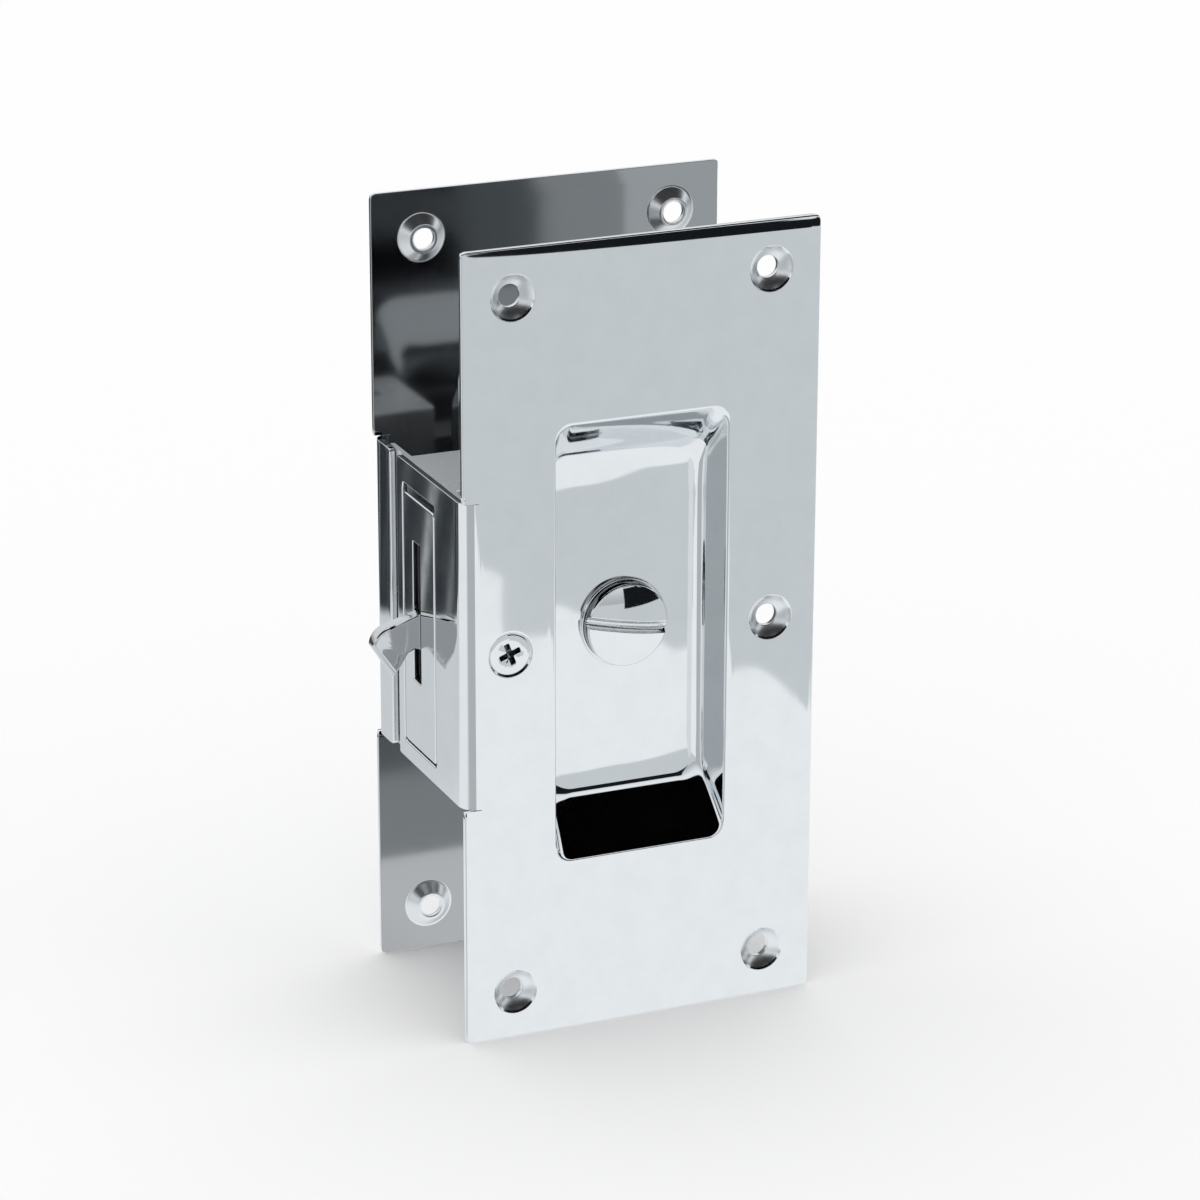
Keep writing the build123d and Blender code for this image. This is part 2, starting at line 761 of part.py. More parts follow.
with BuildPart() as detent_spring:
    nose_x = hub_rim_radius + notch_offset
    leaf_x = case_inner_right - spring_thickness / 2
    with BuildSketch(facing(gear_plane_y + spring_width / 2)):
        with BuildLine():
            Polyline(
                (leaf_x, spring_foot_z),
                (leaf_x, spring_bend_z),
                (nose_x + spring_nose_radius - spring_thickness / 2, 0),
                (nose_x + spring_tail_flare, spring_tail_length),
            )
        trace(line_width=spring_thickness)
        with Locations((nose_x, 0)):
            Circle(spring_nose_radius)
    extrude(amount=spring_width)
detent_spring.part.label = "detent_spring"

# Turns, bushes and clips, one of each on either side


def bush_profile(side):
    """Flanged bush of a cup's floor: flange under the turn, sleeve through the floor."""
    with BuildPart() as bush:
        with BuildSketch(at_depth(side, cup_depth)):
            Circle(bush_flange_radius)
        extrude(amount=bush_flange_height)
        with BuildSketch(at_depth(side, cup_back_y + bush_tail)):
            Circle(bush_radius)
        extrude(amount=sheet + bush_tail)
        with Locations(at_depth(side, turn_base)):
            Hole(shank_radius + running_gap)
    return bush.part


def turn_shank(side):
    """Shank of a turn, from its disc through the bush, with the clip's groove."""
    with BuildPart() as shank:
        with BuildSketch(at_depth(side, shank_end)):
            Circle(shank_radius)
        extrude(amount=shank_length)
        with BuildSketch(at_depth(side, clip_start + clip_thickness)):
            Circle(shank_radius)
            Circle(clip_groove_radius, mode=Mode.SUBTRACT)
        extrude(amount=clip_thickness, mode=Mode.SUBTRACT)
    return shank.part


def clip_ring(side):
    """Open retaining ring that snaps into the shank's groove behind the bush."""
    with BuildPart() as ring:
        with BuildSketch(at_depth(side, clip_start + clip_thickness)):
            Circle(clip_radius)
            Circle(clip_groove_radius, mode=Mode.SUBTRACT)
            with Locations((0, -clip_radius)):
                Rectangle(clip_opening, 2 * clip_radius, mode=Mode.SUBTRACT)
        extrude(amount=clip_thickness)
    return ring.part


with BuildPart() as outside_turn:
    with BuildSketch(at_depth(outside, turn_base)):
        Circle(turn_radius)
    extrude(amount=turn_height)
    fillet(outside_turn.faces().sort_by(Axis.Y)[0].edges(), radius=turn_edge_round)
    add(turn_shank(outside))
    slot_line = Plane(
        origin=(0, turn_face, 0),
        x_dir=(0, 1, 0),
        z_dir=(cos(radians(coin_slot_angle)), 0, sin(radians(coin_slot_angle))),
    )
    with BuildSketch(slot_line):
        Circle(coin_slot_radius)
    extrude(amount=2 * turn_radius, both=True, mode=Mode.SUBTRACT)
    with BuildSketch(at_depth(outside, shank_end)):
        Rectangle(spindle_side + 2 * spindle_fit, spindle_side + 2 * spindle_fit)
    extrude(amount=shank_end - socket_end, mode=Mode.SUBTRACT)
outside_turn.part.label = "outside_turn"

with BuildPart() as inside_turn:
    with BuildSketch(at_depth(inside, turn_base)):
        Circle(turn_radius)
    extrude(amount=inside_disc_height)
    fillet(inside_turn.faces().sort_by(Axis.Y)[-1].edges(), radius=turn_edge_round)
    with BuildSketch(at_depth(inside, inside_disc_face)):
        SlotOverall(blade_length, blade_thickness)
    extrude(amount=blade_height, taper=blade_taper)
    fillet(inside_turn.faces().sort_by(Axis.Y)[-1].edges(), radius=blade_round)
    add(turn_shank(inside))
    with BuildSketch(at_depth(inside, shank_end)):
        Rectangle(spindle_side + 2 * spindle_fit, spindle_side + 2 * spindle_fit)
    extrude(amount=shank_end - inside_socket_end, mode=Mode.SUBTRACT)
inside_turn.part.label = "inside_turn"

with BuildPart() as outside_bush:
    add(bush_profile(outside))
outside_bush.part.label = "outside_bush"

with BuildPart() as inside_bush:
    add(bush_profile(inside))
inside_bush.part.label = "inside_bush"

with BuildPart() as outside_clip:
    add(clip_ring(outside))
outside_clip.part.label = "outside_clip"

with BuildPart() as inside_clip:
    add(clip_ring(inside))
inside_clip.part.label = "inside_clip"

# Spindle: square bar through the outside turn, the hub and the inside turn

with BuildPart() as spindle:
    with BuildSketch(facing(spindle_end_y)):
        Rectangle(spindle_side, spindle_side)
    extrude(amount=spindle_end_y - spindle_start_y)
    chamfer(spindle.faces().filter_by(Axis.Y).edges(), length=spindle_chamfer)
spindle.part.label = "spindle"

# Screws from the plates into the lock case


def case_screw(side, length):
    """Countersunk screw with a cross recess, in the left middle hole of a side."""
    hole_x = -middle_hole_x * side.x_dir.X
    head_radius = dimple_radius - case_screw_sink / tan(radians(90 - dimple_angle / 2))
    place = Plane(
        origin=at_depth(side, case_screw_sink).from_local_coords((hole_x, 0, 0)),
        x_dir=side.x_dir,
        z_dir=side.z_dir,
    )
    with BuildPart() as screw:
        with BuildSketch(place.offset(-length)):
            Circle(case_screw_radius)
        extrude(amount=length)
        with BuildSketch(Plane(origin=place.origin, x_dir=-place.x_dir, z_dir=-place.z_dir)):
            Circle(head_radius)
        extrude(amount=head_radius - case_screw_radius, taper=dimple_angle / 2)
        with BuildSketch(Plane(origin=place.origin, x_dir=-place.x_dir, z_dir=-place.z_dir)):
            Rectangle(recess_width, recess_slot, rotation=recess_turn)
            Rectangle(recess_slot, recess_width, rotation=recess_turn)
        extrude(amount=recess_depth, taper=recess_taper, mode=Mode.SUBTRACT)
    return screw.part


with BuildPart() as front_case_screw:
    add(case_screw(outside, front_screw_length))
front_case_screw.part.label = "front_case_screw"

with BuildPart() as back_case_screw:
    add(case_screw(inside, back_screw_length))
back_case_screw.part.label = "back_case_screw"

os.makedirs("parts", exist_ok=True)
export_step(front_plate.part, "parts/front_plate.step")
export_step(back_plate.part, "parts/back_plate.step")
export_step(guide_channel.part, "parts/guide_channel.step")
export_step(rear_bracket.part, "parts/rear_bracket.step")
export_step(channel_rivets.part, "parts/channel_rivets.step")
export_step(case_body.part, "parts/case_body.step")
export_step(case_cover.part, "parts/case_cover.step")
export_step(case_face.part, "parts/case_face.step")
export_step(cover_screws.part, "parts/cover_screws.step")
export_step(hub.part, "parts/hub.step")
export_step(hook_bolt.part, "parts/hook_bolt.step")
export_step(hook_pin.part, "parts/hook_pin.step")
export_step(pivot_spacers.part, "parts/pivot_spacers.step")
export_step(detent_spring.part, "parts/detent_spring.step")
export_step(outside_turn.part, "parts/outside_turn.step")
export_step(inside_turn.part, "parts/inside_turn.step")
export_step(outside_bush.part, "parts/outside_bush.step")
export_step(inside_bush.part, "parts/inside_bush.step")
export_step(outside_clip.part, "parts/outside_clip.step")
export_step(inside_clip.part, "parts/inside_clip.step")
export_step(spindle.part, "parts/spindle.step")
export_step(front_case_screw.part, "parts/front_case_screw.step")
export_step(back_case_screw.part, "parts/back_case_screw.step")
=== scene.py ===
"""Pocket door lock in chrome: pressed plates with flush pulls, a hook bolt, turns and screws."""

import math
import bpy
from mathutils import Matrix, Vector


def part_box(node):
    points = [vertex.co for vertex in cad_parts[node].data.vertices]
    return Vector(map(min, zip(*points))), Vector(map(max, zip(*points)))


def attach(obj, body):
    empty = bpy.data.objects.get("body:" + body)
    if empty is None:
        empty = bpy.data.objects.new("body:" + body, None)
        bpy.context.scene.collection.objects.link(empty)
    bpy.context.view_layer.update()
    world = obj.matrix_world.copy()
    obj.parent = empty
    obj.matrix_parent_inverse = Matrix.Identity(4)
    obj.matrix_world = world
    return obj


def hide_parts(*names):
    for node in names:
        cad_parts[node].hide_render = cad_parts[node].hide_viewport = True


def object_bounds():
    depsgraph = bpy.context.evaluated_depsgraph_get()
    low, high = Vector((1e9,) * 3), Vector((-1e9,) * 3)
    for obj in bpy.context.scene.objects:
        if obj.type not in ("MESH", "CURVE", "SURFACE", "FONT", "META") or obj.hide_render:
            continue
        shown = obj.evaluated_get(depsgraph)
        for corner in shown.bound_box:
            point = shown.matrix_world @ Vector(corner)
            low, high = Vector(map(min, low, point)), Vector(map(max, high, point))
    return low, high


bl_info = {
    "name": "Pocket door lock",
    "version": (1, 0, 0),
    "blender": (4, 5, 0),
    "location": "View3D > Sidebar > Pocket lock",
    "description": "Polished pieces and plain studio for a pocket door lock with a hook bolt",
    "category": "Add Mesh",
}

import bmesh
import bpy
import numpy as np
from bpy.props import FloatProperty, FloatVectorProperty, PointerProperty
from mathutils import Matrix, Vector

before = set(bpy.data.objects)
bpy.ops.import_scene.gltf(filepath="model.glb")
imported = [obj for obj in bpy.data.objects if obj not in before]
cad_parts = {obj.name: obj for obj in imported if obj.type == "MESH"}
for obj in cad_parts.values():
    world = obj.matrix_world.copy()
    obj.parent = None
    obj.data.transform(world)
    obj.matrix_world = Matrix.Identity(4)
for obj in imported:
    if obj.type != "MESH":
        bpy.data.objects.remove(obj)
CAD_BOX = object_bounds()
MM = 0.001

# Points closer than this are one, in metres
MERGE = 2e-6


def box_mm(node):
    """Lowest and highest corner of a CAD node, in millimetres."""
    low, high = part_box(node)
    return np.array(low) / MM, np.array(high) / MM


FRONT_HIGH = box_mm("front_plate")[1]
BACK_HIGH = box_mm("back_plate")[1]
FACE_LOW, FACE_HIGH = box_mm("case_face")
DISC_LOW, DISC_HIGH = box_mm("outside_turn")
BUSH_LOW, BUSH_HIGH = box_mm("outside_bush")
KNOB_LOW, KNOB_HIGH = box_mm("inside_turn")
SHEET = float(FACE_HIGH[0] - FACE_LOW[0])
DEPTH = float(BACK_HIGH[1])
HALF_WIDTH = float(FRONT_HIGH[0])
HALF_HEIGHT = float(FRONT_HIGH[2])

# Openings in the bent edge, in millimetres: near and far into the door, low and high
WINDOW = (15.4, 33.1, -28.2, 27.2)
HOOK_SLOT = (23.5, 27.6, -13.2, 16.4)

# Borders of a plate's web: along its edge, along the bent edge's, and at the window's sides and ends
MARGIN = 3.2
STRIP = 0.8
WINDOW_SIDE = 0.8
WINDOW_END = 1.4

# Blocks taken out of a plate's web: half the cup's, and the screw holes' inner side and half height
CUP_SIDE, CUP_END = 20.6, 49.0
HOLE_SIDE, HOLE_END, MIDDLE_HOLE_END = 21.0, 6.4, 6.5

# The last rings of a rim's profile, which count as the sheet's inner face and take its painted shade
RIM_BEHIND = 3

# Narrow cut between the ends of the bent edge and the rest of the plate
RELIEF = 0.06

# Level direction of the camera's rays once a plate has mirrored them
AHEAD_X, AHEAD_Y = 0.396, -0.918

# Metals: their colours in the panel, then what metal() takes; inside names the colour painted as shade on
# inner faces, recesses and sides
LOOKS = {
    "polished chrome": {
        "base": "chrome", "inside": "inner_shade", "roughness": 0.035, "haze": 0.02, "wave": 0.045
    },
    "turned chrome": {"base": "chrome", "inside": "recess", "roughness": 0.03, "haze": 0.015, "wave": 0.0},
    "cast chrome": {"base": "cast", "roughness": 0.07, "haze": 0.03, "wave": 0.02},
    "liner steel": {
        "base": "liner", "roughness": 0.22, "haze": 0.06, "wave": 0.04, "grain": 0.0004, "metallic": 0.4
    },
    "cast case": {"base": "case", "roughness": 0.38, "haze": 0.12, "wave": 0.1, "grain": 0.004},
    "works steel": {"base": "works", "roughness": 0.26, "haze": 0.1, "wave": 0.05, "grain": 0.001},
}


# Properties

def millimetres(name, description, default):
    """A length in millimetres."""
    return FloatProperty(name=name, description=f"{description}, mm", default=default)


def metres(name, description, default):
    """A length in the scene's own unit."""
    return FloatProperty(name=name, description=description, default=default, unit="LENGTH")


def degrees(name, description, default):
    """An angle."""
    return FloatProperty(name=name, description=description, default=math.radians(default), subtype="ANGLE")


def shade_of(name, description, default):
    """A colour."""
    return FloatVectorProperty(
        name=name, description=description, subtype="COLOR", default=default, min=0, max=1
    )


class PlateSizes(bpy.types.PropertyGroup):
    """Pressed plates, their cups, screw holes and bent edges."""

    corner: millimetres("Corner", "Radius of the plates' corners", 1.0)
    edge: millimetres("Edge", "Round of the plates' edges", 0.35)
    edge_roll: millimetres("Edge roll", "Fall of the face at its edge", 0.07)
    bend: millimetres("Bend", "Outer radius of the bent edge", 3.6)
    flange: millimetres("Flange", "Half the height of the bent edge", 32.0)
    gap: millimetres("Gap", "Gap between the two bent edges", 3.45)
    cup_width: millimetres("Cup width", "Width of the cup's mouth", 36.8)
    cup_height: millimetres("Cup height", "Height of the cup's mouth", 91.8)
    cup_depth: millimetres("Cup depth", "Depth of the cup's floor", 9.5)
    cup_draft: millimetres("Side draft", "How far the cup's sides lean in", 1.1)
    cup_slope: degrees("End slope", "Slope of the cup's ends from the plate", 45)
    cup_lip: millimetres("Lip", "Round of the cup's mouth", 0.8)
    cup_corner: millimetres("Cup corner", "Corner of the cup's mouth", 3.6)
    floor_corner: millimetres("Floor corner", "Corner of the cup's floor", 4.2)
    side_round: millimetres("Side round", "Round from side to floor", 2.4)
    end_round: millimetres("End round", "Round from sloped end to floor", 5.5)
    dish_rise: millimetres("Dish rise", "Rise of the cup's floor to its ends", 0.6)
    dish_length: millimetres("Dish length", "Stretch over which the floor rises", 8.0)
    droop: millimetres("Droop", "Fall of the plate's top edge", 0.39)
    droop_width: millimetres("Droop width", "Stretch over which the edge falls", 2.8)
    hole_x: millimetres("Corner holes X", "Corner screw holes from the middle", 27.4)
    hole_z: millimetres("Corner holes Z", "Corner screw holes from the middle", 72.7)
    side_hole_x: millimetres("Side holes X", "Side screw holes from the middle", 28.2)
    hole: millimetres("Screw hole", "Radius of the screw holes", 2.25)
    dimple: millimetres("Dimple", "Radius of the dimples' mouths", 4.7)
    dimple_depth: millimetres("Dimple depth", "Depth of the dimples", 3.0)
    bush_hole: millimetres("Bush hole", "Radius of the hole for the bush", 6.5)


class TurnSizes(bpy.types.PropertyGroup):
    """Coin turn, knob and screw heads."""

    slot: millimetres("Coin slot", "Radius of the coin slot", 1.15)
    slot_lean: degrees("Slot lean", "Lean of the coin slot", -10.6)
    edge: millimetres("Edge", "Round of the turn's edge", 0.5)
    crown: millimetres("Crown", "Rise of the turn's face in its middle", 1.35)
    height: millimetres("Height", "Height of the coin turn over its bush", 3.4)
    shank: millimetres("Shank", "Radius of the turns' shanks", 5.0)
    knob_height: millimetres("Knob disc", "Height of the inside turn's disc", 2.6)
    blade_length: millimetres("Blade length", "Length of the inside blade", 14.6)
    blade_width: millimetres("Blade width", "Thickness of the inside blade", 3.6)
    screw_head: millimetres("Screw head", "Radius of the case screws' heads", 4.4)
    screw_shaft: millimetres("Screw shaft", "Radius of the case screws' shafts", 2.0)
    screw_sink: millimetres("Screw sink", "Heads below the plate's face", 0.3)
    recess: millimetres("Cross recess", "Width of the cross recess", 4.6)
    recess_lean: degrees("Recess lean", "Lean of the cross recess", 20)


class Finishes(bpy.types.PropertyGroup):
    """Colours of the metals, and the painted shade on inner faces, recesses and the coin turn's side."""

    chrome: shade_of("Chrome", "Polished plate", (0.80, 0.825, 0.84))
    # Painted shade on the plates' inner faces, the cup's back and the rims' back rows
    inner_shade: shade_of("Inner faces", "Plate inside", (0.42, 0.435, 0.445))
    cast: shade_of("Cast chrome", "Hook's plating", (0.62, 0.635, 0.65))
    # Painted shade in the screws' cross recess, and on the coin turn's side
    recess: shade_of("Recess", "Cross recess", (0.16, 0.17, 0.18))
    liner: shade_of("Liner", "Folded channel", (0.76, 0.78, 0.80))
    case: shade_of("Case", "Cast case", (0.42, 0.43, 0.44))
    works: shade_of("Works", "Steel works", (0.55, 0.56, 0.57))


class Studio(bpy.types.PropertyGroup):
    """Camera, floor and the soft room that the chrome mirrors."""

    azimuth: degrees("Azimuth", "Camera turn", -23.28)
    elevation: degrees("Elevation", "Camera rise", 19.56)
    roll: degrees("Roll", "Camera roll", 0.14)
    distance: metres("Distance", "Camera to the lock's middle", 0.9176)
    aside: metres("Aside", "Camera aside of the middle", 0.00156)
    above: metres("Above", "Camera above the middle", -0.0006)
    lens: millimetres("Lens", "Focal length on a 36 mm sensor", 135.0)
    near_floor: shade_of("Near floor", "Floor by the lock", (0.97, 0.985, 1.0))
    far_floor: shade_of("Far floor", "Floor further off", (0.66, 0.69, 0.71))
    dark: shade_of("Dark room", "Unlit room", (0.03, 0.035, 0.04))


# Surfaces

class Skin:
    """Grids of points in millimetres that make one closed mesh. Shared edges repeat their points."""

    def __init__(self):
        self.points = []
        self.inner = []
        self.quads = []
        self.count = 0

    def grid(self, points, keep=None, inner=0.0):
        """Adds a grid of points, rows by columns. keep says which of its cells have a face. inner is 0 on an
        outer face, 1 where painted shade goes (on the sheet's inner face, in a recess, on a side in shade),
        and -1 where the sheet is pressed."""
        rows, columns = points.shape[:2]
        index = self.count + np.arange(rows * columns).reshape(rows, columns)
        quads = np.stack([index[:-1, :-1], index[1:, :-1], index[1:, 1:], index[:-1, 1:]], axis=-1)
        self.quads.append(quads.reshape(-1, 4) if keep is None else quads[keep])
        self.points.append(points.reshape(-1, 3))
        self.inner.append(np.broadcast_to(inner, (rows, columns)).reshape(-1))
        self.count += rows * columns

    def loops(self, rings, inner=0.0):
        """Adds closed loops of points, one loop a row, joined row to row."""
        self.grid(np.concatenate([rings, rings[:, :1]], axis=1), None, inner)

    def piece(self, name, body, replaced, slot, finish):
        """Makes the object: merges the shared edges, turns the faces outwards, shades it smooth."""
        points = np.concatenate(self.points) * MM
        quads = np.concatenate(self.quads)
        used, faces = np.unique(quads, return_inverse=True)
        mesh = bpy.data.meshes.new(name)
        mesh.from_pydata(points[used].tolist(), [], faces.reshape(-1, 4).tolist())
        depth = mesh.attributes.new("inner", "FLOAT", "POINT")
        depth.data.foreach_set("value", np.concatenate(self.inner)[used].astype(np.float32))
        shaped = bmesh.new()
        shaped.from_mesh(mesh)
        bmesh.ops.remove_doubles(shaped, verts=shaped.verts, dist=MERGE)
        bmesh.ops.dissolve_degenerate(shaped, edges=shaped.edges, dist=1e-7)
        bmesh.ops.recalc_face_normals(shaped, faces=shaped.faces)
        shaped.to_mesh(mesh)
        shaped.free()
        mesh.shade_smooth()
        return dressed(mesh, name, body, replaced, slot, finish)


def dressed(mesh, name, body, replaced, slot, finish):
    """Links a mesh as a piece that rides on a body and stands for CAD nodes."""
    piece = bpy.data.objects.new(name, mesh)
    bpy.context.scene.collection.objects.link(piece)
    mesh.materials.clear()
    mesh.materials.append(finish)
    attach(piece, body)
    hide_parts(*replaced)
    return piece


def spaced(breaks, steps):
    """Lines through all the breaks, each stretch cut into even parts no longer than its step."""
    parts = [
        np.linspace(start, end, max(1, math.ceil((end - start) / step)) + 1)[:-1]
        for start, end, step in zip(breaks[:-1], breaks[1:], steps)
    ]
    return np.concatenate(parts + [[breaks[-1]]])


def nearest(lines, value):
    """Index of the line nearest to a value."""
    return int(np.argmin(np.abs(lines - value)))


def around(corners):
    """Grid nodes along a closed path of straight runs: their rows, their columns and the nodes a run."""
    rows, columns, counts = [], [], []
    for (i0, j0), (i1, j1) in zip(corners, corners[1:] + corners[:1]):
        count = max(abs(i1 - i0), abs(j1 - j0))
        steps = np.arange(count)
        rows.append(i0 + steps * np.sign(i1 - i0))
        columns.append(j0 + steps * np.sign(j1 - j0))
        counts.append(count)
    return np.concatenate(rows), np.concatenate(columns), counts


def shares(nodes, counts):
    """How far along its own run each node of a closed path is, from 0 to 1."""
    starts = np.cumsum([0] + counts[:-1])
    firsts = nodes[starts]
    lengths = np.linalg.norm(np.roll(firsts, -1, axis=0) - firsts, axis=1)
    run = np.repeat(np.arange(len(counts)), counts)
    return np.linalg.norm(nodes - firsts[run], axis=1) / lengths[run], run


def rounded_path(corners, radii, share, run):
    """Points on a closed path with round corners. Each run is half the arc at its start, a straight, and
    half the arc at its end, and a point lies at its share of that length."""
    corners, radii = np.asarray(corners, float), np.asarray(radii, float)
    ahead = np.roll(corners, -1, axis=0) - corners
    length = np.linalg.norm(ahead, axis=1)
    ahead = ahead / length[:, None]
    behind = np.roll(ahead, 1, axis=0)
    after = np.roll(radii, -1)
    straight = length - radii - after
    start_arc, end_arc = radii * math.pi / 4, after * math.pi / 4
    along = share * (start_arc + straight + end_arc)[run]

    def arc_point(corner, radius, before, onward, turned):
        centre = corner + radius[:, None] * (onward - before)
        swing = before * np.sin(turned)[:, None] - onward * np.cos(turned)[:, None]
        return centre + radius[:, None] * swing

    safe = np.maximum(radii, 1e-9)
    first_turn = math.pi / 4 + along / safe[run]
    on_first = arc_point(corners[run], radii[run], behind[run], ahead[run], first_turn)
    on_straight = corners[run] + ahead[run] * (radii[run] + along - start_arc[run])[:, None]
    follow = (run + 1) % len(corners)
    last_turn = (along - start_arc[run] - straight[run]) / safe[follow]
    on_last = arc_point(corners[follow], radii[follow], ahead[run], ahead[follow], last_turn)
    path = np.where((along < start_arc[run])[:, None], on_first, on_straight)
    return np.where((along > (start_arc + straight)[run])[:, None], on_last, path)


def inset_path(corners, radii, inset, part=1.0):
    """The corners and radii of a path drawn in by inset, for a path that runs anticlockwise. part says how
    much of the inset each side takes, where the sides don't take it all."""
    corners = np.asarray(corners, float)
    ahead = np.roll(corners, -1, axis=0) - corners
    ahead = ahead / np.linalg.norm(ahead, axis=1)[:, None]
    outward = np.stack([ahead[:, 1], -ahead[:, 0]], axis=1) * np.broadcast_to(part, len(corners))[:, None]
    moved = corners - inset * (outward + np.roll(outward, 1, axis=0))
    return moved, np.where(np.asarray(radii) > 0, np.maximum(np.asarray(radii) - inset, 0.02), 0.0)


def spanned(left, right, low, high):
    """Corners of a rectangle between four limits, anticlockwise from the lower left."""
    return [(left, low), (right, low), (right, high), (left, high)]


def rectangle(half_width, half_height):
    """Corners of a rectangle about the middle, anticlockwise from the lower left."""
    return spanned(-half_width, half_width, -half_height, half_height)


def even_shares(runs, count):
    """Shares and runs of a closed path whose runs all have the same number of even nodes."""
    return np.tile(np.linspace(0, 1, count, endpoint=False), runs), np.repeat(np.arange(runs), count)


def rim_profile(edge):
    """Inset and depth down a sheet's edge: a round from face to edge, the wall, a small round behind."""
    back_edge = 0.12
    turn = np.linspace(0, math.pi / 2, 7)
    front = np.stack([edge * (1 - np.sin(turn)), edge * (1 - np.cos(turn))], axis=1)
    turn = turn[::3]
    back = np.stack([back_edge * (1 - np.cos(turn)), SHEET - back_edge * (1 - np.sin(turn))], axis=1)
    return np.concatenate([[[edge * 1.3, 0.0]], front, back, [[back_edge * 1.3, SHEET]]])


def wall_run(depth, mouth, slope, lip, floor_round, floor_depth):
    """How far out a wall stands at each depth. It leaves the face on the lip's arc, runs straight at its
    slope, and meets the floor on the floor's arc. mouth is where the straight run would meet the face."""
    slant = math.tan(slope)
    lip_turn = np.arccos(np.clip(1 - depth / lip, -1, 1))
    on_lip = mouth + lip * math.tan(slope / 2) - lip * np.sin(np.minimum(lip_turn, slope))
    floor_turn = np.arccos(np.clip(1 - (floor_depth - depth) / floor_round, -1, 1))
    foot = mouth - floor_depth / slant - floor_round * math.tan(slope / 2)
    on_floor = foot + floor_round * np.sin(floor_turn)
    straight = mouth - depth / slant
    lip_end = lip * (1 - math.cos(slope))
    floor_start = floor_depth - floor_round * (1 - math.cos(slope))
    return np.where(depth < lip_end, on_lip, np.where(depth > floor_start, on_floor, straight))


def cup_rings(sizes, wall, share, run):
    """The cup's inside (wall 0) or its back (wall = sheet), as level curves from mouth to floor. The curve
    at each depth is a rectangle with round corners, as wide and as high as the walls stand there."""
    side_slope = math.atan2(sizes.cup_depth, sizes.cup_draft)
    end_slope = sizes.cup_slope
    back_lip = 0.3
    lip = sizes.cup_lip if wall == 0 else back_lip
    floor = sizes.cup_depth
    ease = np.linspace(0, 1, 9)
    top = lip * 0.98 * ease**2
    low = floor - sizes.end_round * (1 - math.cos(end_slope))
    fall = np.linspace(1, 0, 27)
    depth = np.concatenate([top, np.linspace(top[-1], low, 9)[1:-1], floor - (floor - low) * fall**2])
    side = sizes.cup_width / 2 + wall * math.tan(side_slope / 2)
    end = sizes.cup_height / 2 + wall * math.tan(end_slope / 2)
    width = wall_run(depth, side, side_slope, lip, sizes.side_round + wall, floor)
    height = wall_run(depth, end, end_slope, lip, sizes.end_round + wall, floor)
    corner = sizes.cup_corner + wall + (sizes.floor_corner - sizes.cup_corner) * depth / floor
    rings = []
    for w, h, r, d in zip(width, height, corner, depth):
        ring = rounded_path(rectangle(w, h), [r] * 4, share, run)
        rings.append((ring, wall + d - dish(sizes, ring, height[-1]) * d / floor))
    return rings


def dish(sizes, ring, foot):
    """Rise of the cup's floor towards its ends: a parabola over the last stretch before the foot of the
    sloped end, and from there on its tangent."""
    along = (np.abs(ring[:, 1]) - foot) / sizes.dish_length + 1
    return sizes.dish_rise * np.where(along < 1, np.maximum(along, 0) ** 2, 2 * along - 1)


def circle_ring(centre, radius, nodes):
    """A circle's points in the directions of the given nodes from its centre."""
    away = nodes - np.asarray(centre)
    away = away / np.linalg.norm(away, axis=1)[:, None]
    return np.asarray(centre) + radius * away


def dimple_profile(sizes):
    """Radius and depth of a screw hole's dimple: rolled mouth, cone, hole, and the cone of its back. Also
    how many of its rows are pressed, which are all from the mouth on but the last."""
    roll = 0.3
    turn = np.linspace(0, math.pi / 4, 6)
    mouth = sizes.dimple + roll * math.tan(math.pi / 8)
    lip = np.stack([mouth - roll * np.sin(turn), roll * (1 - np.cos(turn))], axis=1)
    depth = sizes.dimple_depth
    foot = sizes.dimple - sizes.hole
    back = 3.1
    pressed = [
        (sizes.dimple - 0.5, 0.52),
        (sizes.dimple - 0.9, 0.92),
        (sizes.dimple - 1.25, 1.21),
        (sizes.dimple - 1.6, 1.45),
        (sizes.dimple - 1.95, 1.66),
        (sizes.hole + 0.25, 1.80),
        (sizes.hole + 0.1, 1.87),
        (sizes.hole + 0.02, 1.95),
        (sizes.hole, foot + 0.1),
        (sizes.hole, depth - 0.06),
        (sizes.hole + 0.05, depth),
        (back - 0.1, depth),
        (back + 0.05, depth - 0.1),
        (back + depth - SHEET - 0.15, SHEET + 0.15),
        (back + depth - SHEET + 0.1, SHEET),
    ]
    last = (back + depth - SHEET + 0.4, SHEET)
    return np.concatenate([[[mouth + 0.25, 0.0]], lip, pressed, [last]]), len(pressed)


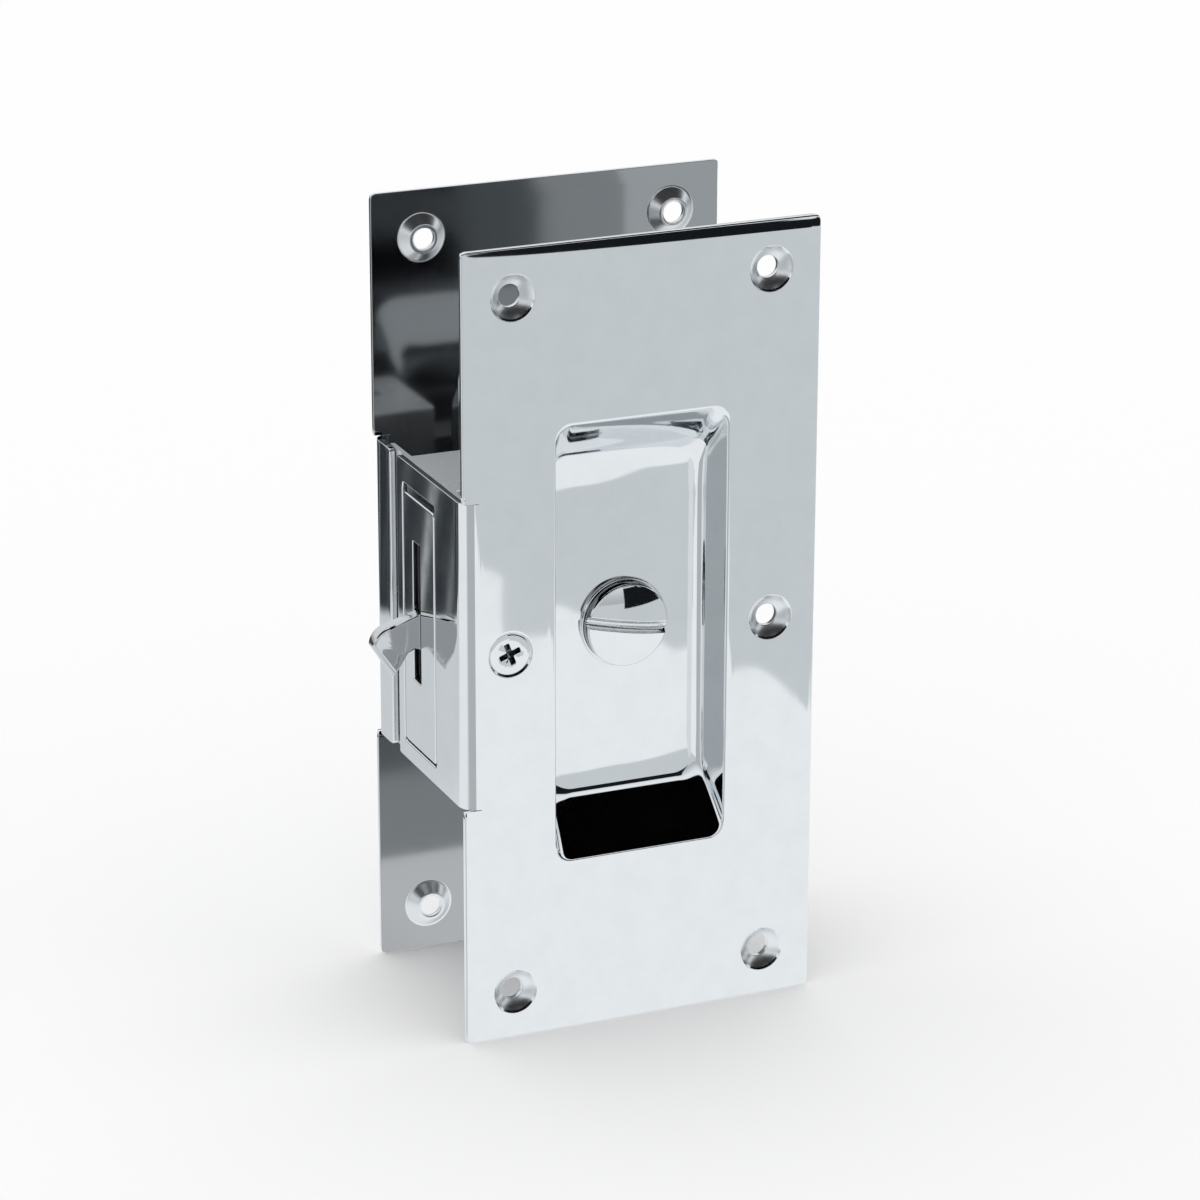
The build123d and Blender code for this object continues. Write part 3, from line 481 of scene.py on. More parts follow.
class Web:
    """A sheet worked out flat, with a web of straight lines on both faces. Blocks of cells are taken out of
    it, and loops of rings close the sheet there and round its edge. laid puts flat points at a depth in the
    sheet, and inside is what its inner face gets as inner, its share of painted shade."""

    def __init__(self, first_lines, second_lines, laid, inside=1.0):
        self.first_lines, self.second_lines = first_lines, second_lines
        self.flat = np.stack(np.meshgrid(first_lines, second_lines, indexing="ij"), axis=-1)
        self.keep = np.ones((len(first_lines) - 1, len(second_lines) - 1), bool)
        self.laid = laid
        self.inside = inside
        self.skin = Skin()

    def node(self, first, second):
        """Row and column of the crossing nearest to a flat place."""
        return nearest(self.first_lines, first), nearest(self.second_lines, second)

    def path(self, corners):
        """Nodes of a closed path through crossings, with their shares and runs."""
        rows, columns, counts = around(corners)
        nodes = self.flat[rows, columns]
        return (nodes, *shares(nodes, counts))

    def punched(self, first_low, first_high, second_low, second_high):
        """Takes a block of cells out of the web and gives its closed path."""
        low, high = self.node(first_low, second_low), self.node(first_high, second_high)
        self.keep[low[0] : high[0], low[1] : high[1]] = False
        return self.path(spanned(low[0], high[0], low[1], high[1]))

    def joined(self, nodes, rings, behind, pressed=0):
        """Adds loops from the front's path through the rings, each a flat ring and its depth, to the back's.
        The last rings, as many as behind says, lie on the sheet's inner face and take its painted shade.
        Before them, as many as pressed says are pressed and so rougher."""
        stack = [self.laid(nodes, 0.0)]
        stack += [self.laid(ring, depth) for ring, depth in rings]
        stack.append(self.laid(nodes, SHEET))
        inner = np.zeros(len(stack))
        first_behind = len(stack) - 1 - behind
        inner[first_behind:] = self.inside
        inner[first_behind - pressed : first_behind] = -1.0
        self.skin.loops(np.stack(stack), inner[:, None])

    def rimmed(self, path, corners, radius, edge, side):
        """Joins a rectangle's rounded rim to a path. side is 1 round an outline and -1 in an opening."""
        nodes, share, run = path
        rings = []
        for inset, depth in rim_profile(edge):
            moved, radii = inset_path(corners, [radius] * 4, side * inset)
            rings.append((rounded_path(moved, radii, share, run), depth))
        self.joined(nodes, rings, RIM_BEHIND)

    def closed(self):
        """The skin, once both faces of the web are on it."""
        self.skin.grid(self.laid(self.flat, 0.0), self.keep)
        self.skin.grid(self.laid(self.flat, SHEET), self.keep, self.inside)
        return self.skin


class Fold:
    """The bend of a pressed plate, which is worked out flat, along s and z at depth t in the sheet. Left of
    the bend line, s turns round the bend's arc and runs on into the door."""

    def __init__(self, sizes, place):
        self.sizes = sizes
        self.place = place
        self.line = -HALF_WIDTH + sizes.bend
        self.arc = sizes.bend * math.pi / 2

    def run_at(self, into):
        """The s of the bent edge's points that lie so far into the door."""
        return self.line - self.arc - (into - self.sizes.bend)

    def laid(self, flat, depth):
        """Flat points folded and put in place. The top edge falls by a parabola, more to the right."""
        s, z = flat[..., 0], flat[..., 1]
        bend = self.sizes.bend
        past = np.where(np.abs(z) <= self.sizes.flange + RELIEF / 2, np.maximum(self.line - s, 0), 0)
        turned = np.minimum(past / bend, math.pi / 2)
        straight = np.maximum(past - self.arc, 0)
        x = np.maximum(s, self.line) - (bend - depth) * np.sin(turned)
        x = np.where((past == 0) & (s < self.line), s, x)
        left_share, gain = 0.07, 0.465
        near_top = np.maximum((z - HALF_HEIGHT) / self.sizes.droop_width + 1, 0)
        fall = near_top**2 * (left_share + gain * (s / HALF_WIDTH + 1))
        level = depth + self.sizes.droop * fall
        y = np.where(past > 0, bend - (bend - depth) * np.cos(turned) + straight, level)
        return self.place(np.stack([x, y, z], axis=-1))


def plate_lines(sizes, fold, tip, window):
    """Lines of a plate's web, along s and up z, dense where it bends, at the window and at the cup."""
    s_breaks = [fold.line - fold.arc, fold.line, -HOLE_SIDE, -CUP_SIDE, -15.0, 15.0, CUP_SIDE, HOLE_SIDE]
    s_breaks += [-fold.line, HALF_WIDTH - MARGIN]
    s_steps = [0.36, 0.8, 1.0, 0.5, 1.6, 0.5, 1.0, 0.8, 0.6]
    if window is None:
        s_breaks, s_steps = [tip + STRIP] + s_breaks, [1.5] + s_steps
    else:
        near, far = window[0] - WINDOW_SIDE, window[1] + WINDOW_SIDE
        s_breaks = [tip + STRIP, fold.run_at(far), fold.run_at(near)] + s_breaks
        s_steps = [0.7, 0.8, 1.6] + s_steps
    flange = sizes.flange
    z_breaks = [0, MIDDLE_HOLE_END, 20.0, flange - WINDOW_END, flange - STRIP, flange + 0.2, flange + 1.0]
    z_breaks += [44.0, CUP_END, sizes.hole_z - HOLE_END, sizes.hole_z + HOLE_END, HALF_HEIGHT - MARGIN]
    z_steps = [0.82, 2.0, 1.5, 0.6, 1.0, 0.8, 1.8, 0.55, 1.8, 0.8, 1.0]
    upper = spaced(z_breaks, z_steps)
    return spaced(s_breaks, s_steps), np.concatenate([-upper[:0:-1], upper])


def press_dimples(web, sizes, fold):
    """Six screw holes: the dimple's profile as rings round each."""
    profile, pressed = dimple_profile(sizes)
    for side in (-1, 1):
        left, right = (fold.line, -HOLE_SIDE) if side < 0 else (HOLE_SIDE, -fold.line)
        for x, z in ((sizes.hole_x, -sizes.hole_z), (sizes.side_hole_x, 0), (sizes.hole_x, sizes.hole_z)):
            reach = MIDDLE_HOLE_END if z == 0 else HOLE_END
            nodes, _, _ = web.punched(left, right, z - reach, z + reach)
            rings = [(circle_ring((side * x, z), radius, nodes), depth) for radius, depth in profile]
            web.joined(nodes, rings, 1, pressed)


def draw_cup(web, sizes):
    """The cup, with the bush's hole in its floor: level curves down the inside, rings in the floor that turn
    from its outline to the hole's circle, and the same up its back."""
    nodes, share, run = web.punched(-CUP_SIDE, CUP_SIDE, -CUP_END, CUP_END)
    inner = cup_rings(sizes, 0.0, share, run)
    outer = cup_rings(sizes, SHEET, share, run)
    floor_in, floor_out = inner[-1][0], outer[-1][0]
    hole = circle_ring((0, 0), sizes.bush_hole, floor_in)
    foot = float(floor_in[:, 1].max())
    inward, outward = [], []
    for part in (0.06, 0.12, 0.18, 0.24, 0.3, 0.5, 0.75, 0.92, 1.0):
        ring = floor_in + (hole - floor_in) * part
        inward.append((ring, sizes.cup_depth - dish(sizes, ring, foot)))
        ring = floor_out + (hole - floor_out) * part
        outward.append((ring, sizes.cup_depth + SHEET - dish(sizes, ring, foot)))
    mouth, back_rim = rectangle(sizes.cup_width / 2, sizes.cup_height / 2), 1.6
    rim = inset_path(mouth, [sizes.cup_corner] * 4, -back_rim)
    outer = outer[::-1] + [(rounded_path(*rim, share, run), SHEET)]
    # The floor's back and the cup's back lie behind and take the inner face's painted shade
    web.joined(nodes, inner + inward + outward[::-1] + outer, len(outward) + len(outer))


def cut_window(web, sizes, fold, window):
    """The window in the bent edge."""
    near, far, low, high = window
    end = sizes.flange - WINDOW_END
    path = web.punched(fold.run_at(far + WINDOW_SIDE), fold.run_at(near - WINDOW_SIDE), -end, end)
    web.rimmed(path, spanned(fold.run_at(far), fold.run_at(near), low, high), 0.8, 0.3, -1)


def round_edge(web, sizes, fold, tip):
    """The edge of the whole sheet: rings from the web's path to the outline, the face's fall along them
    as a parabola, and the round itself. The bent edge stands off from the plate by narrow cuts."""
    line, flange = fold.line, sizes.flange
    right, top, strip_end = HALF_WIDTH - MARGIN, HALF_HEIGHT - MARGIN, flange - STRIP
    column, low = web.node(line, -strip_end)
    _, high = web.node(line, strip_end)
    web.keep[:column, :low] = False
    web.keep[:column, high:] = False
    path = [(line, -top), (right, -top), (right, top), (line, top)]
    path += [(line, flange + 1.0), (line, flange + 0.2), (line, strip_end), (tip + STRIP, strip_end)]
    path += [(tip + STRIP, -strip_end), (line, -strip_end), (line, -flange - 0.2), (line, -flange - 1.0)]
    nodes, share, run = web.path([web.node(s, z) for s, z in path])
    cut, cut_end = line - 0.1, flange + RELIEF
    outline = rectangle(HALF_WIDTH, HALF_HEIGHT)
    outline += [(-HALF_WIDTH, cut_end), (cut, cut_end), (cut, flange), (tip, flange)]
    outline += [(tip, -flange), (cut, -flange), (cut, -cut_end), (-HALF_WIDTH, -cut_end)]
    corner = sizes.corner
    radii = [corner, corner, corner, corner, 0.5, 0, 0, corner, corner, 0, 0, 0.5]
    fall = np.array([1, 1, 1, 1, 0, 0, 0, 1, 0, 0, 0, 1])[run] * sizes.edge_roll
    part_of_side = np.array([1, 1, 1, 1, 0.05, 0.05, 0.3, 1, 0.3, 0.05, 0.05, 1])
    rings = []
    for inset, depth in rim_profile(sizes.edge):
        ring = rounded_path(*inset_path(outline, radii, inset, part_of_side), share, run)
        rings.append((ring, depth + fall * (1 - depth / SHEET)))
    start = rings[0][0]
    outwards = (0.15, 0.3, 0.42, 0.54, 0.66, 0.77, 0.87, 0.95)
    rings = [(nodes + (start - nodes) * part, fall * part**2) for part in outwards] + rings
    web.joined(nodes, rings, RIM_BEHIND)


def pressed_plate(sizes, reach, window, place):
    """A pressed plate as one closed skin: a folded web, with loops for its screw holes, cup, window and
    edge. reach says how far the bent edge goes into the door."""
    fold = Fold(sizes, place)
    tip = fold.run_at(reach)
    web = Web(*plate_lines(sizes, fold, tip, window), fold.laid)
    press_dimples(web, sizes, fold)
    draw_cup(web, sizes)
    if window is not None:
        cut_window(web, sizes, fold, window)
    round_edge(web, sizes, fold, tip)
    return web.closed()


def as_outside(points):
    """The outside half: depth in the sheet is Y itself."""
    return points


def as_inside(points):
    """The inside half: depth runs from the back plate's outer face towards the front."""
    turned = points.copy()
    turned[..., 1] = DEPTH - turned[..., 1]
    return turned


def turned_rings(profile, angles):
    """Rings of a turned shape. The profile holds radius and depth; a ring is a circle about the Y axis."""
    radius, depth = profile[:, 0:1], profile[:, 1:2]
    x = radius * np.cos(angles)
    z = radius * np.sin(angles)
    return np.stack([x, np.broadcast_to(depth, x.shape), z], axis=-1)


def round_corner(centre, radius, start, end):
    """Points of an arc from one angle to another, as radius and depth."""
    turn = np.radians(np.linspace(start, end, 6))
    return np.stack([centre[0] + radius * np.cos(turn), centre[1] + radius * np.sin(turn)], axis=1)


def leaned(across, up, lean):
    """Two flat coordinates turned about the middle."""
    return np.cos(lean) * across - np.sin(lean) * up, np.sin(lean) * across + np.cos(lean) * up


def coin_turn(sizes, face, base, shank_end, disc):
    """The coin turn. Rows run along the slot, so that its half-round groove, with rounded brinks, lies on
    the grid. The face is crowned by a shallow parabola, and its rim falls on the edge's arc."""
    radius = disc - sizes.edge
    brink, plain_from, groove_half = 0.14, 1.45, 1.3
    turn = np.radians(np.linspace(90, 0, 7))
    bowl = np.stack([sizes.slot * np.cos(turn), brink + sizes.slot * np.sin(turn)], axis=1)
    turn = np.radians(np.linspace(180, 270, 6))
    lip = np.stack([sizes.slot + brink + brink * np.cos(turn), brink + brink * np.sin(turn)], axis=1)
    plain = radius * np.sin(np.radians(np.linspace(math.degrees(math.asin(plain_from / radius)), 90, 16)))
    half = np.concatenate([bowl, lip[1:], np.stack([plain, np.zeros_like(plain)], axis=1)])
    across = np.concatenate([-half[:0:-1, 0], half[:, 0]])
    groove = np.concatenate([half[:0:-1, 1], half[:, 1]])
    width = np.sqrt(np.maximum(radius**2 - across**2, 0))
    along = np.sin(np.radians(np.linspace(-90, 90, 41)))
    x = width[:, None] * along
    z = np.broadcast_to(across[:, None], x.shape)
    crown = sizes.crown * (x**2 + z**2) / disc**2
    depth = crown + np.broadcast_to(groove[:, None], x.shape)
    rise = sizes.crown * radius**2 / disc**2

    def seated(x, depth, z):
        aside, up = leaned(x, z, sizes.slot_lean)
        return np.stack([aside, face + depth, up], axis=-1)

    skin = Skin()
    in_slot = (groove > 0.05)[:, None]
    skin.grid(seated(x, depth, z), None, in_slot * -1.0)
    rim_across = np.concatenate([across, across[-2:0:-1]])
    rim_groove = np.concatenate([groove, groove[-2:0:-1]])
    side = np.concatenate([np.ones(len(across)), -np.ones(len(across) - 2)])
    hold = np.clip((np.abs(rim_across) - groove_half) / (radius - groove_half), 0, 1)
    turn = np.radians(np.linspace(0, 90, 7))
    rim = [(radius + sizes.edge * math.sin(a), rise + sizes.edge * (1 - math.cos(a))) for a in turn]
    height, end = base - face, shank_end - face
    rim += [(disc, height - 0.9), (disc, height - 0.15), (disc - 0.15, height)]
    rim += [(sizes.shank + 0.05, height), (sizes.shank, height + 0.1), (sizes.shank, end - 0.4)]
    rim += [(sizes.shank - 0.4, end), (0.0, end)]
    rings = []
    for reach, fall in rim:
        q = rim_across * (1 + (reach / radius - 1) * hold) if reach > radius else rim_across * reach / radius
        out = side * np.sqrt(np.maximum(reach**2 - q**2, 0))
        sunk = np.maximum(fall, rim_groove + rise) if fall < height - 1.5 else np.full_like(q, fall)
        rings.append(seated(out, sunk, q))
    # Painted shade: from the foot of the rim's arc on, the turn's side takes most of the dark recess colour
    side_shade = 0.9
    in_shade = np.arange(len(rings)) >= len(turn) - 1
    skin.loops(np.stack(rings), in_shade[:, None] * side_shade)
    return skin


def knob_disc(sizes, height, base, disc, shank_end):
    """The inside turn's disc and shank: a turned profile."""
    edge = 0.6
    profile = np.concatenate(
        [
            [[0.0, height]],
            [[disc - edge - 0.3, height]],
            round_corner((disc - edge, height + edge), edge, -90, 0),
            [[disc, base - 0.15], [disc - 0.15, base], [sizes.shank, base], [sizes.shank, shank_end - 0.4]],
            [[sizes.shank - 0.4, shank_end], [0.0, shank_end]],
        ]
    )
    skin = Skin()
    skin.loops(turned_rings(profile, np.linspace(0, 2 * math.pi, 96, endpoint=False)))
    return skin


def knob_blade(sizes, height, face):
    """The inside turn's blade: level curves that are rectangles with round ends. They flare at the foot by
    an arc and draw in over the round top by another."""
    half_length, half_width = sizes.blade_length / 2, sizes.blade_width / 2
    corners, corner = rectangle(half_length, half_width), half_width * 0.9
    share, run = even_shares(4, 24)
    flare, crest = 0.5, 1.3
    rows = []
    for turn in np.radians(np.linspace(0, 90, 5)):
        rows.append((-flare * (1 - math.sin(turn)), height - flare * (1 - math.cos(turn))))
    for turn in np.radians(np.linspace(0, 90, 7)):
        rows.append((crest * (1 - math.cos(turn)), face + crest * (1 - math.sin(turn))))
    rows.append((half_width * 0.98, face))
    rings = []
    for inset, depth in rows:
        shrunk, radii = inset_path(corners, [corner] * 4, inset)
        radii = np.minimum(np.maximum(radii, 0.01), max(half_width - inset - 0.005, 0.01))
        ring = rounded_path(shrunk, radii, share, run)
        rings.append(np.stack([ring[:, 0], np.full(len(ring), depth), ring[:, 1]], axis=1))
    foot = rings[0].copy()
    foot[:, 1] = height + 0.3
    closing = foot * (1, 1, 0), rings[-1] * (1, 1, 0)
    blade = Skin()
    blade.loops(np.stack([closing[0], foot, *rings, closing[1]]))
    return blade


def bush(sizes, low, high, rim, neck):
    """The ring under a turn: a turned profile with a flange in the cup and a neck through the plate."""
    hole, floor = sizes.shank + 0.06, low + 0.6
    profile = np.concatenate(
        [
            [[hole, high], [hole, low + 0.1], [hole + 0.1, low]],
            [[rim - 0.45, low]],
            round_corner((rim - 0.3, low + 0.3), 0.3, -90, 0),
            [[rim, floor], [neck, floor], [neck, high], [hole, high]],
        ]
    )
    return turned_rings(profile, np.linspace(0, 2 * math.pi, 128, endpoint=False))


def screw(sizes, length, place, centre):
    """A countersunk screw: turned head and shaft, and a cross recess whose outline draws in as it sinks."""
    arm, bar = sizes.recess / 2, 0.575
    cross = [(-bar, -arm), (bar, -arm), (bar, -bar), (arm, -bar), (arm, bar), (bar, bar), (bar, arm)]
    cross += [(-bar, arm), (-bar, bar), (-arm, bar), (-arm, -bar), (-bar, -bar)]
    mouth = rounded_path(cross, [0.25, 0.25, 0.15] * 4, *even_shares(12, 9))
    angles = np.arctan2(mouth[:, 1], mouth[:, 0])
    circle = np.stack([np.cos(angles), np.sin(angles)], axis=1)
    head, shaft, sink = sizes.screw_head, sizes.screw_shaft, sizes.screw_sink

    def seated(flat, depth):
        x, z = leaned(flat[:, 0], flat[:, 1], sizes.recess_lean)
        return place(np.stack([centre[0] + x, np.full(len(flat), sink + depth), centre[1] + z], axis=1))

    recess = [(0.0, 1.9), (0.35, 1.75), (0.6, 1.55), (0.74, 1.4)]
    recess += [(0.8, 1.1), (0.9, 0.5), (0.97, 0.12), (1.0, 0.02)]
    foot = 0.3 + head - shaft
    turned = [(2.9, 0.0), (3.6, 0.015), (4.0, 0.05), (head - 0.2, 0.1), (head - 0.05, 0.17), (head, 0.28)]
    turned += [(head - 0.05, 0.36), (shaft + 0.05, foot), (shaft, foot + 0.2)]
    turned += [(shaft, length - 0.8), (shaft - 0.6, length), (0.0, length)]
    rings = [seated(mouth * part, depth) for part, depth in recess]
    rings.append(seated(mouth * 1.04, 0.0))
    rings += [seated(circle * radius, depth) for radius, depth in turned]
    skin = Skin()
    # Painted shade: the recess rows take the dark recess colour
    skin.loops(np.stack(rings), (np.arange(len(rings)) < len(recess))[:, None])
    return skin


def face_strip(slot):
    """The strip in the flange's window: a flat sheet with rounded edges and the hook's slot."""
    outer_face, near, low = FACE_LOW
    far, high = FACE_HIGH[1:]
    border, bank = 1.2, 0.7
    slot_near, slot_far, slot_low, slot_high = slot
    y_lines = spaced([near + border, slot_near - bank, slot_far + bank, far - border], [0.8, 0.5, 0.8])
    z_lines = spaced([low + border, slot_low - bank, slot_high + bank, high - border], [1.2, 1.0, 1.2])

    def laid(flat, depth):
        return np.stack([np.full(flat.shape[:-1], outer_face + depth), flat[..., 0], flat[..., 1]], axis=-1)

    web = Web(y_lines, z_lines, laid, inside=0.0)
    path = web.punched(slot_near - bank, slot_far + bank, slot_low - bank, slot_high + bank)
    web.rimmed(path, spanned(*slot), 0.3, 0.2, -1)
    path = web.path(spanned(0, len(y_lines) - 1, 0, len(z_lines) - 1))
    web.rimmed(path, spanned(near, far, low, high), 0.8, 0.35, 1)
    return web.closed()


def smoothed_copy(node, name, body, slot, look):
    """A merged copy of a CAD node with smooth shading up to an angle, standing for the node."""
    sharp_from = math.radians(32.0)
    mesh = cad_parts[node].data.copy()
    mesh.name = name
    shaped = bmesh.new()
    shaped.from_mesh(mesh)
    bmesh.ops.remove_doubles(shaped, verts=shaped.verts, dist=MERGE)
    shaped.to_mesh(mesh)
    shaped.free()
    mesh.shade_smooth()
    mesh.set_sharp_from_angle(angle=sharp_from)
    piece = dressed(mesh, name, body, [node], slot, look)
    piece.modifiers.new("weighted", "WEIGHTED_NORMAL").keep_sharp = True


# Shader graphs

class Value:
    """A socket that adds Math nodes when it is used in an expression."""

    def __init__(self, graph, socket):
        self.graph = graph
        self.socket = socket

    def _math(self, operation, first, second):
        return self.graph.node("ShaderNodeMath", {"operation": operation}, {0: first, 1: second})

    def __add__(self, other):
        return self._math("ADD", self, other)

    def __sub__(self, other):
        return self._math("SUBTRACT", self, other)

    def __rsub__(self, other):
        return self._math("SUBTRACT", other, self)

    def __mul__(self, other):
        return self._math("MULTIPLY", self, other)

    __radd__ = __add__
    __rmul__ = __mul__


class Graph:
    """The nodes of one material or world."""

    def __init__(self, tree):
        self.tree = tree
        self.tree.nodes.clear()

    def node(self, kind, settings=None, inputs=None, output=0):
        """Adds a node: its settings first, then the values or links of its sockets."""
        made = self.tree.nodes.new(kind)
        for name, value in (settings or {}).items():
            setattr(made, name, value)
        for key, value in (inputs or {}).items():
            if isinstance(value, Value):
                self.tree.links.new(value.socket, made.inputs[key])
            else:
                made.inputs[key].default_value = value
        return Value(self, made.outputs[output]) if made.outputs else None

    def mix(self, factor, first, second):
        """Mixes two colours by a factor."""
        return self.node("ShaderNodeMix", {"data_type": "RGBA"}, {0: factor, 6: first, 7: second}, output=2)

    def between(self, value, low, high):
        """0 below low, 1 above high, smooth between."""
        span = {0: value, 1: low, 2: high, 3: 0.0, 4: 1.0}
        return self.node("ShaderNodeMapRange", {"interpolation_type": "SMOOTHSTEP"}, span)

    def noise(self, place, scale, detail=2.0, roughness=0.5):
        """Noise on a place."""
        look = {"Vector": place, "Scale": scale, "Detail": detail, "Roughness": roughness}
        return self.node("ShaderNodeTexNoise", {}, look)

    def axes(self, place):
        """The three coordinates of a place."""
        return [self.node("ShaderNodeSeparateXYZ", {}, {0: place}, output=axis) for axis in range(3)]

    def place(self, x, y=0.0):
        """A place from its coordinates."""
        return self.node("ShaderNodeCombineXYZ", {}, {0: x, 1: y})


def tint(colour, factor=1.0):
    """A colour with its alpha, made lighter or darker."""
    return (*[min(c * factor, 1.0) for c in colour], 1.0)


def mirrored_way(x, y):
    """How far a place or a direction lies along the mirrored camera's rays, and aside of them."""
    return x * AHEAD_X + y * AHEAD_Y, x * -AHEAD_Y + y * AHEAD_X


def metal(name, colour, roughness, haze, wave, grain=0.0, metallic=1.0, inner_shade=None):
    """Metal that varies as polished or cast plate does: haze from handling in its roughness and colour, a
    slow wave and a fine grain in its surface. The colour for inner faces is painted shade: a darker colour
    that the inner attribute mixes in on a sheet's inner face, in a recess or on a side in shade; the sheet's
    pressed cones are rougher."""
    material = bpy.data.materials.new(name)
    material.use_nodes = True
    graph = Graph(material.node_tree)
    place = graph.node("ShaderNodeTexCoord", output=3)
    slow = graph.noise(place, 28.0, 1.0)
    smear = graph.noise(place, 160.0, 4.0, 0.6)
    fine = graph.noise(place, 2600.0, 2.0)
    rough = roughness + haze * graph.between(smear, 0.35, 0.8) + haze * 0.3 * fine
    shade = graph.mix(graph.between(smear, 0.3, 0.75), tint(colour), tint(colour, 0.965))
    if inner_shade is not None:
        side = graph.node("ShaderNodeAttribute", {"attribute_name": "inner"}, output=2)
        inner, pressed = graph.between(side, 0.0, 1.0), graph.between(side * -1.0, 0.0, 1.0)
        # Painted shade: where inner is up, the darker inner face colour is mixed in
        shade = graph.mix(inner, shade, tint(inner_shade))
        rough = rough + inner * 0.05 + pressed * 0.24
    height = slow * wave + fine * grain
    relief = graph.node("ShaderNodeBump", {}, {"Strength": 1.0, "Distance": 0.001, "Height": height})
    surface = {"Base Color": shade, "Metallic": metallic, "Roughness": rough, "Normal": relief}
    shader = graph.node("ShaderNodeBsdfPrincipled", {}, surface)
    graph.node("ShaderNodeOutputMaterial", {}, {"Surface": shader})
    return material


def finish(name):
    """The named metal, made once, with its colours from the panel."""
    found = bpy.data.materials.get(name)
    if found is not None:
        return found
    colours = bpy.context.scene.lock_finishes
    look = dict(LOOKS[name])
    base, inside = look.pop("base"), look.pop("inside", None)
    inner_shade = getattr(colours, inside) if inside else None
    return metal(name, getattr(colours, base), inner_shade=inner_shade, **look)


def pale_floor(studio):
    """White matt paper to the camera. All other rays see it glow with light and dark fields, whose borders
    give the chrome its lines."""
    material = bpy.data.materials.new("pale floor")
    material.use_nodes = True
    graph = Graph(material.node_tree)
    near, far = studio.near_floor, studio.far_floor
    place = graph.node("ShaderNodeTexCoord", output=3)
    x, y, _ = graph.axes(place)
    away = graph.node("ShaderNodeVectorMath", {"operation": "LENGTH"}, {0: place}, output=1)
    ahead, aside = mirrored_way(x, y)
    ripple = graph.noise(place, 14.0, 1.0)
    lobes = graph.noise(graph.place(aside, ahead * 0.2), 42.0, 1.0)
    stripes = graph.noise(graph.place(aside), 160.0, 2.0, 0.7)
    # In front of the plates: a wavy step from near to far floor, and dark far off
    edge = ahead + ripple * 0.03 + lobes * 0.07 + graph.between(aside, 0.0, 0.02) * 0.038
    edge = edge + graph.between(aside, -0.0345, -0.0325) * 0.05
    paper = graph.mix(graph.between(edge, 0.325, 0.331), tint(near), tint(far))
    distant = graph.between(ahead, 0.98, 1.04) * graph.between(aside + ahead * 0.1, -0.01, 0.0)
    paper = graph.mix(distant, paper, tint(studio.dark, 0.3))
    # Behind: dark stripes, ended by a wavy line
    shaded = graph.mix(graph.between(stripes, 0.5, 0.68), tint(studio.dark), tint(far, 0.8))
    shaded = graph.mix(graph.between(ahead * -1.0 + ripple * 0.04, 0.29, 0.3), tint(far), shaded)
    # At the sides: bright by the lock, grey further off
    plain = graph.mix(graph.between(away, 0.05, 0.1), tint(near), tint(far, 0.75))
    plain = graph.mix(graph.between(away * 0.1 - ahead, 0.0, 0.06), plain, tint(near, 0.95))
    front = graph.between(ahead * 0.8 + aside * 1.1, -0.06, -0.045)
    behind = graph.between(ahead * -1.0 - away * 0.8, -0.01, 0.02)
    pattern = graph.mix(behind, graph.mix(front, plain, paper), shaded)
    ray = graph.node("ShaderNodeLightPath", output=0)
    seen = graph.node("ShaderNodeBsdfDiffuse", {}, {"Color": (0.99, 0.99, 0.99, 1)})
    glow = graph.node("ShaderNodeEmission", {}, {"Color": pattern, "Strength": 1.0})
    surface = graph.node("ShaderNodeMixShader", {}, {0: ray, 1: glow, 2: seen})
    graph.node("ShaderNodeOutputMaterial", {}, {"Surface": surface})
    return material


def soft_room(studio):
    """Soft white light all round. In the metal's reflections it is a pale band under a dark ceiling."""
    white, black = (1, 1, 1, 1), (0, 0, 0, 1)
    world = bpy.data.worlds.new("soft room")
    world.use_nodes = True
    graph = Graph(world.node_tree)
    x, y, height = graph.axes(graph.node("ShaderNodeTexCoord", output=0))
    ahead, aside = mirrored_way(x, y)
    band = graph.mix(graph.between(height, 0.0, 0.3), (0.5, 0.52, 0.54, 1), (0.93, 0.95, 0.97, 1))
    facing = graph.between(ahead, 0.5, 0.6) * graph.between(aside, -0.105, -0.095)
    low = facing * graph.between(height * -1.0, -0.18, -0.17)
    ceiling = graph.between(height, 0.38, 0.41) * graph.between(height * -1.0, -0.97, -0.95)
    ceiling = ceiling * graph.between(y * -1.0, -0.1, 0.1)
    room = graph.mix(ceiling, graph.mix(low, band, tint(studio.dark, 0.3)), black)
    camera = graph.node("ShaderNodeLightPath", output=0)
    glossy = graph.node("ShaderNodeLightPath", output=3)
    colour = graph.mix(camera, graph.mix(glossy, white, room), white)
    background = graph.node("ShaderNodeBackground", {}, {"Color": colour, "Strength": 1.0})
    graph.node("ShaderNodeOutputWorld", {}, {"Surface": background})
    return world


# Operators

class LOCK_OT_front_plate(bpy.types.Operator):
    """Pressed front plate with its cup, dimples and windowed flange"""

    bl_idname = "lock.front_plate"
    bl_label = "Front plate"

    def execute(self, context):
        sizes = context.scene.lock_plates
        skin = pressed_plate(sizes, float(FRONT_HIGH[1]), WINDOW, as_outside)
        skin.piece("plate_front", "front_half", ["front_plate"], "plate_chrome", finish("polished chrome"))
        return {"FINISHED"}


class LOCK_OT_back_plate(bpy.types.Operator):
    """Pressed back plate with its cup, dimples and short flange"""

    bl_idname = "lock.back_plate"
    bl_label = "Back plate"

    def execute(self, context):
        sizes = context.scene.lock_plates
        reach = DEPTH - float(FRONT_HIGH[1]) - sizes.gap
        skin = pressed_plate(sizes, reach, None, as_inside)
        skin.piece("plate_back", "back_half", ["back_plate"], "plate_chrome", finish("polished chrome"))
        return {"FINISHED"}


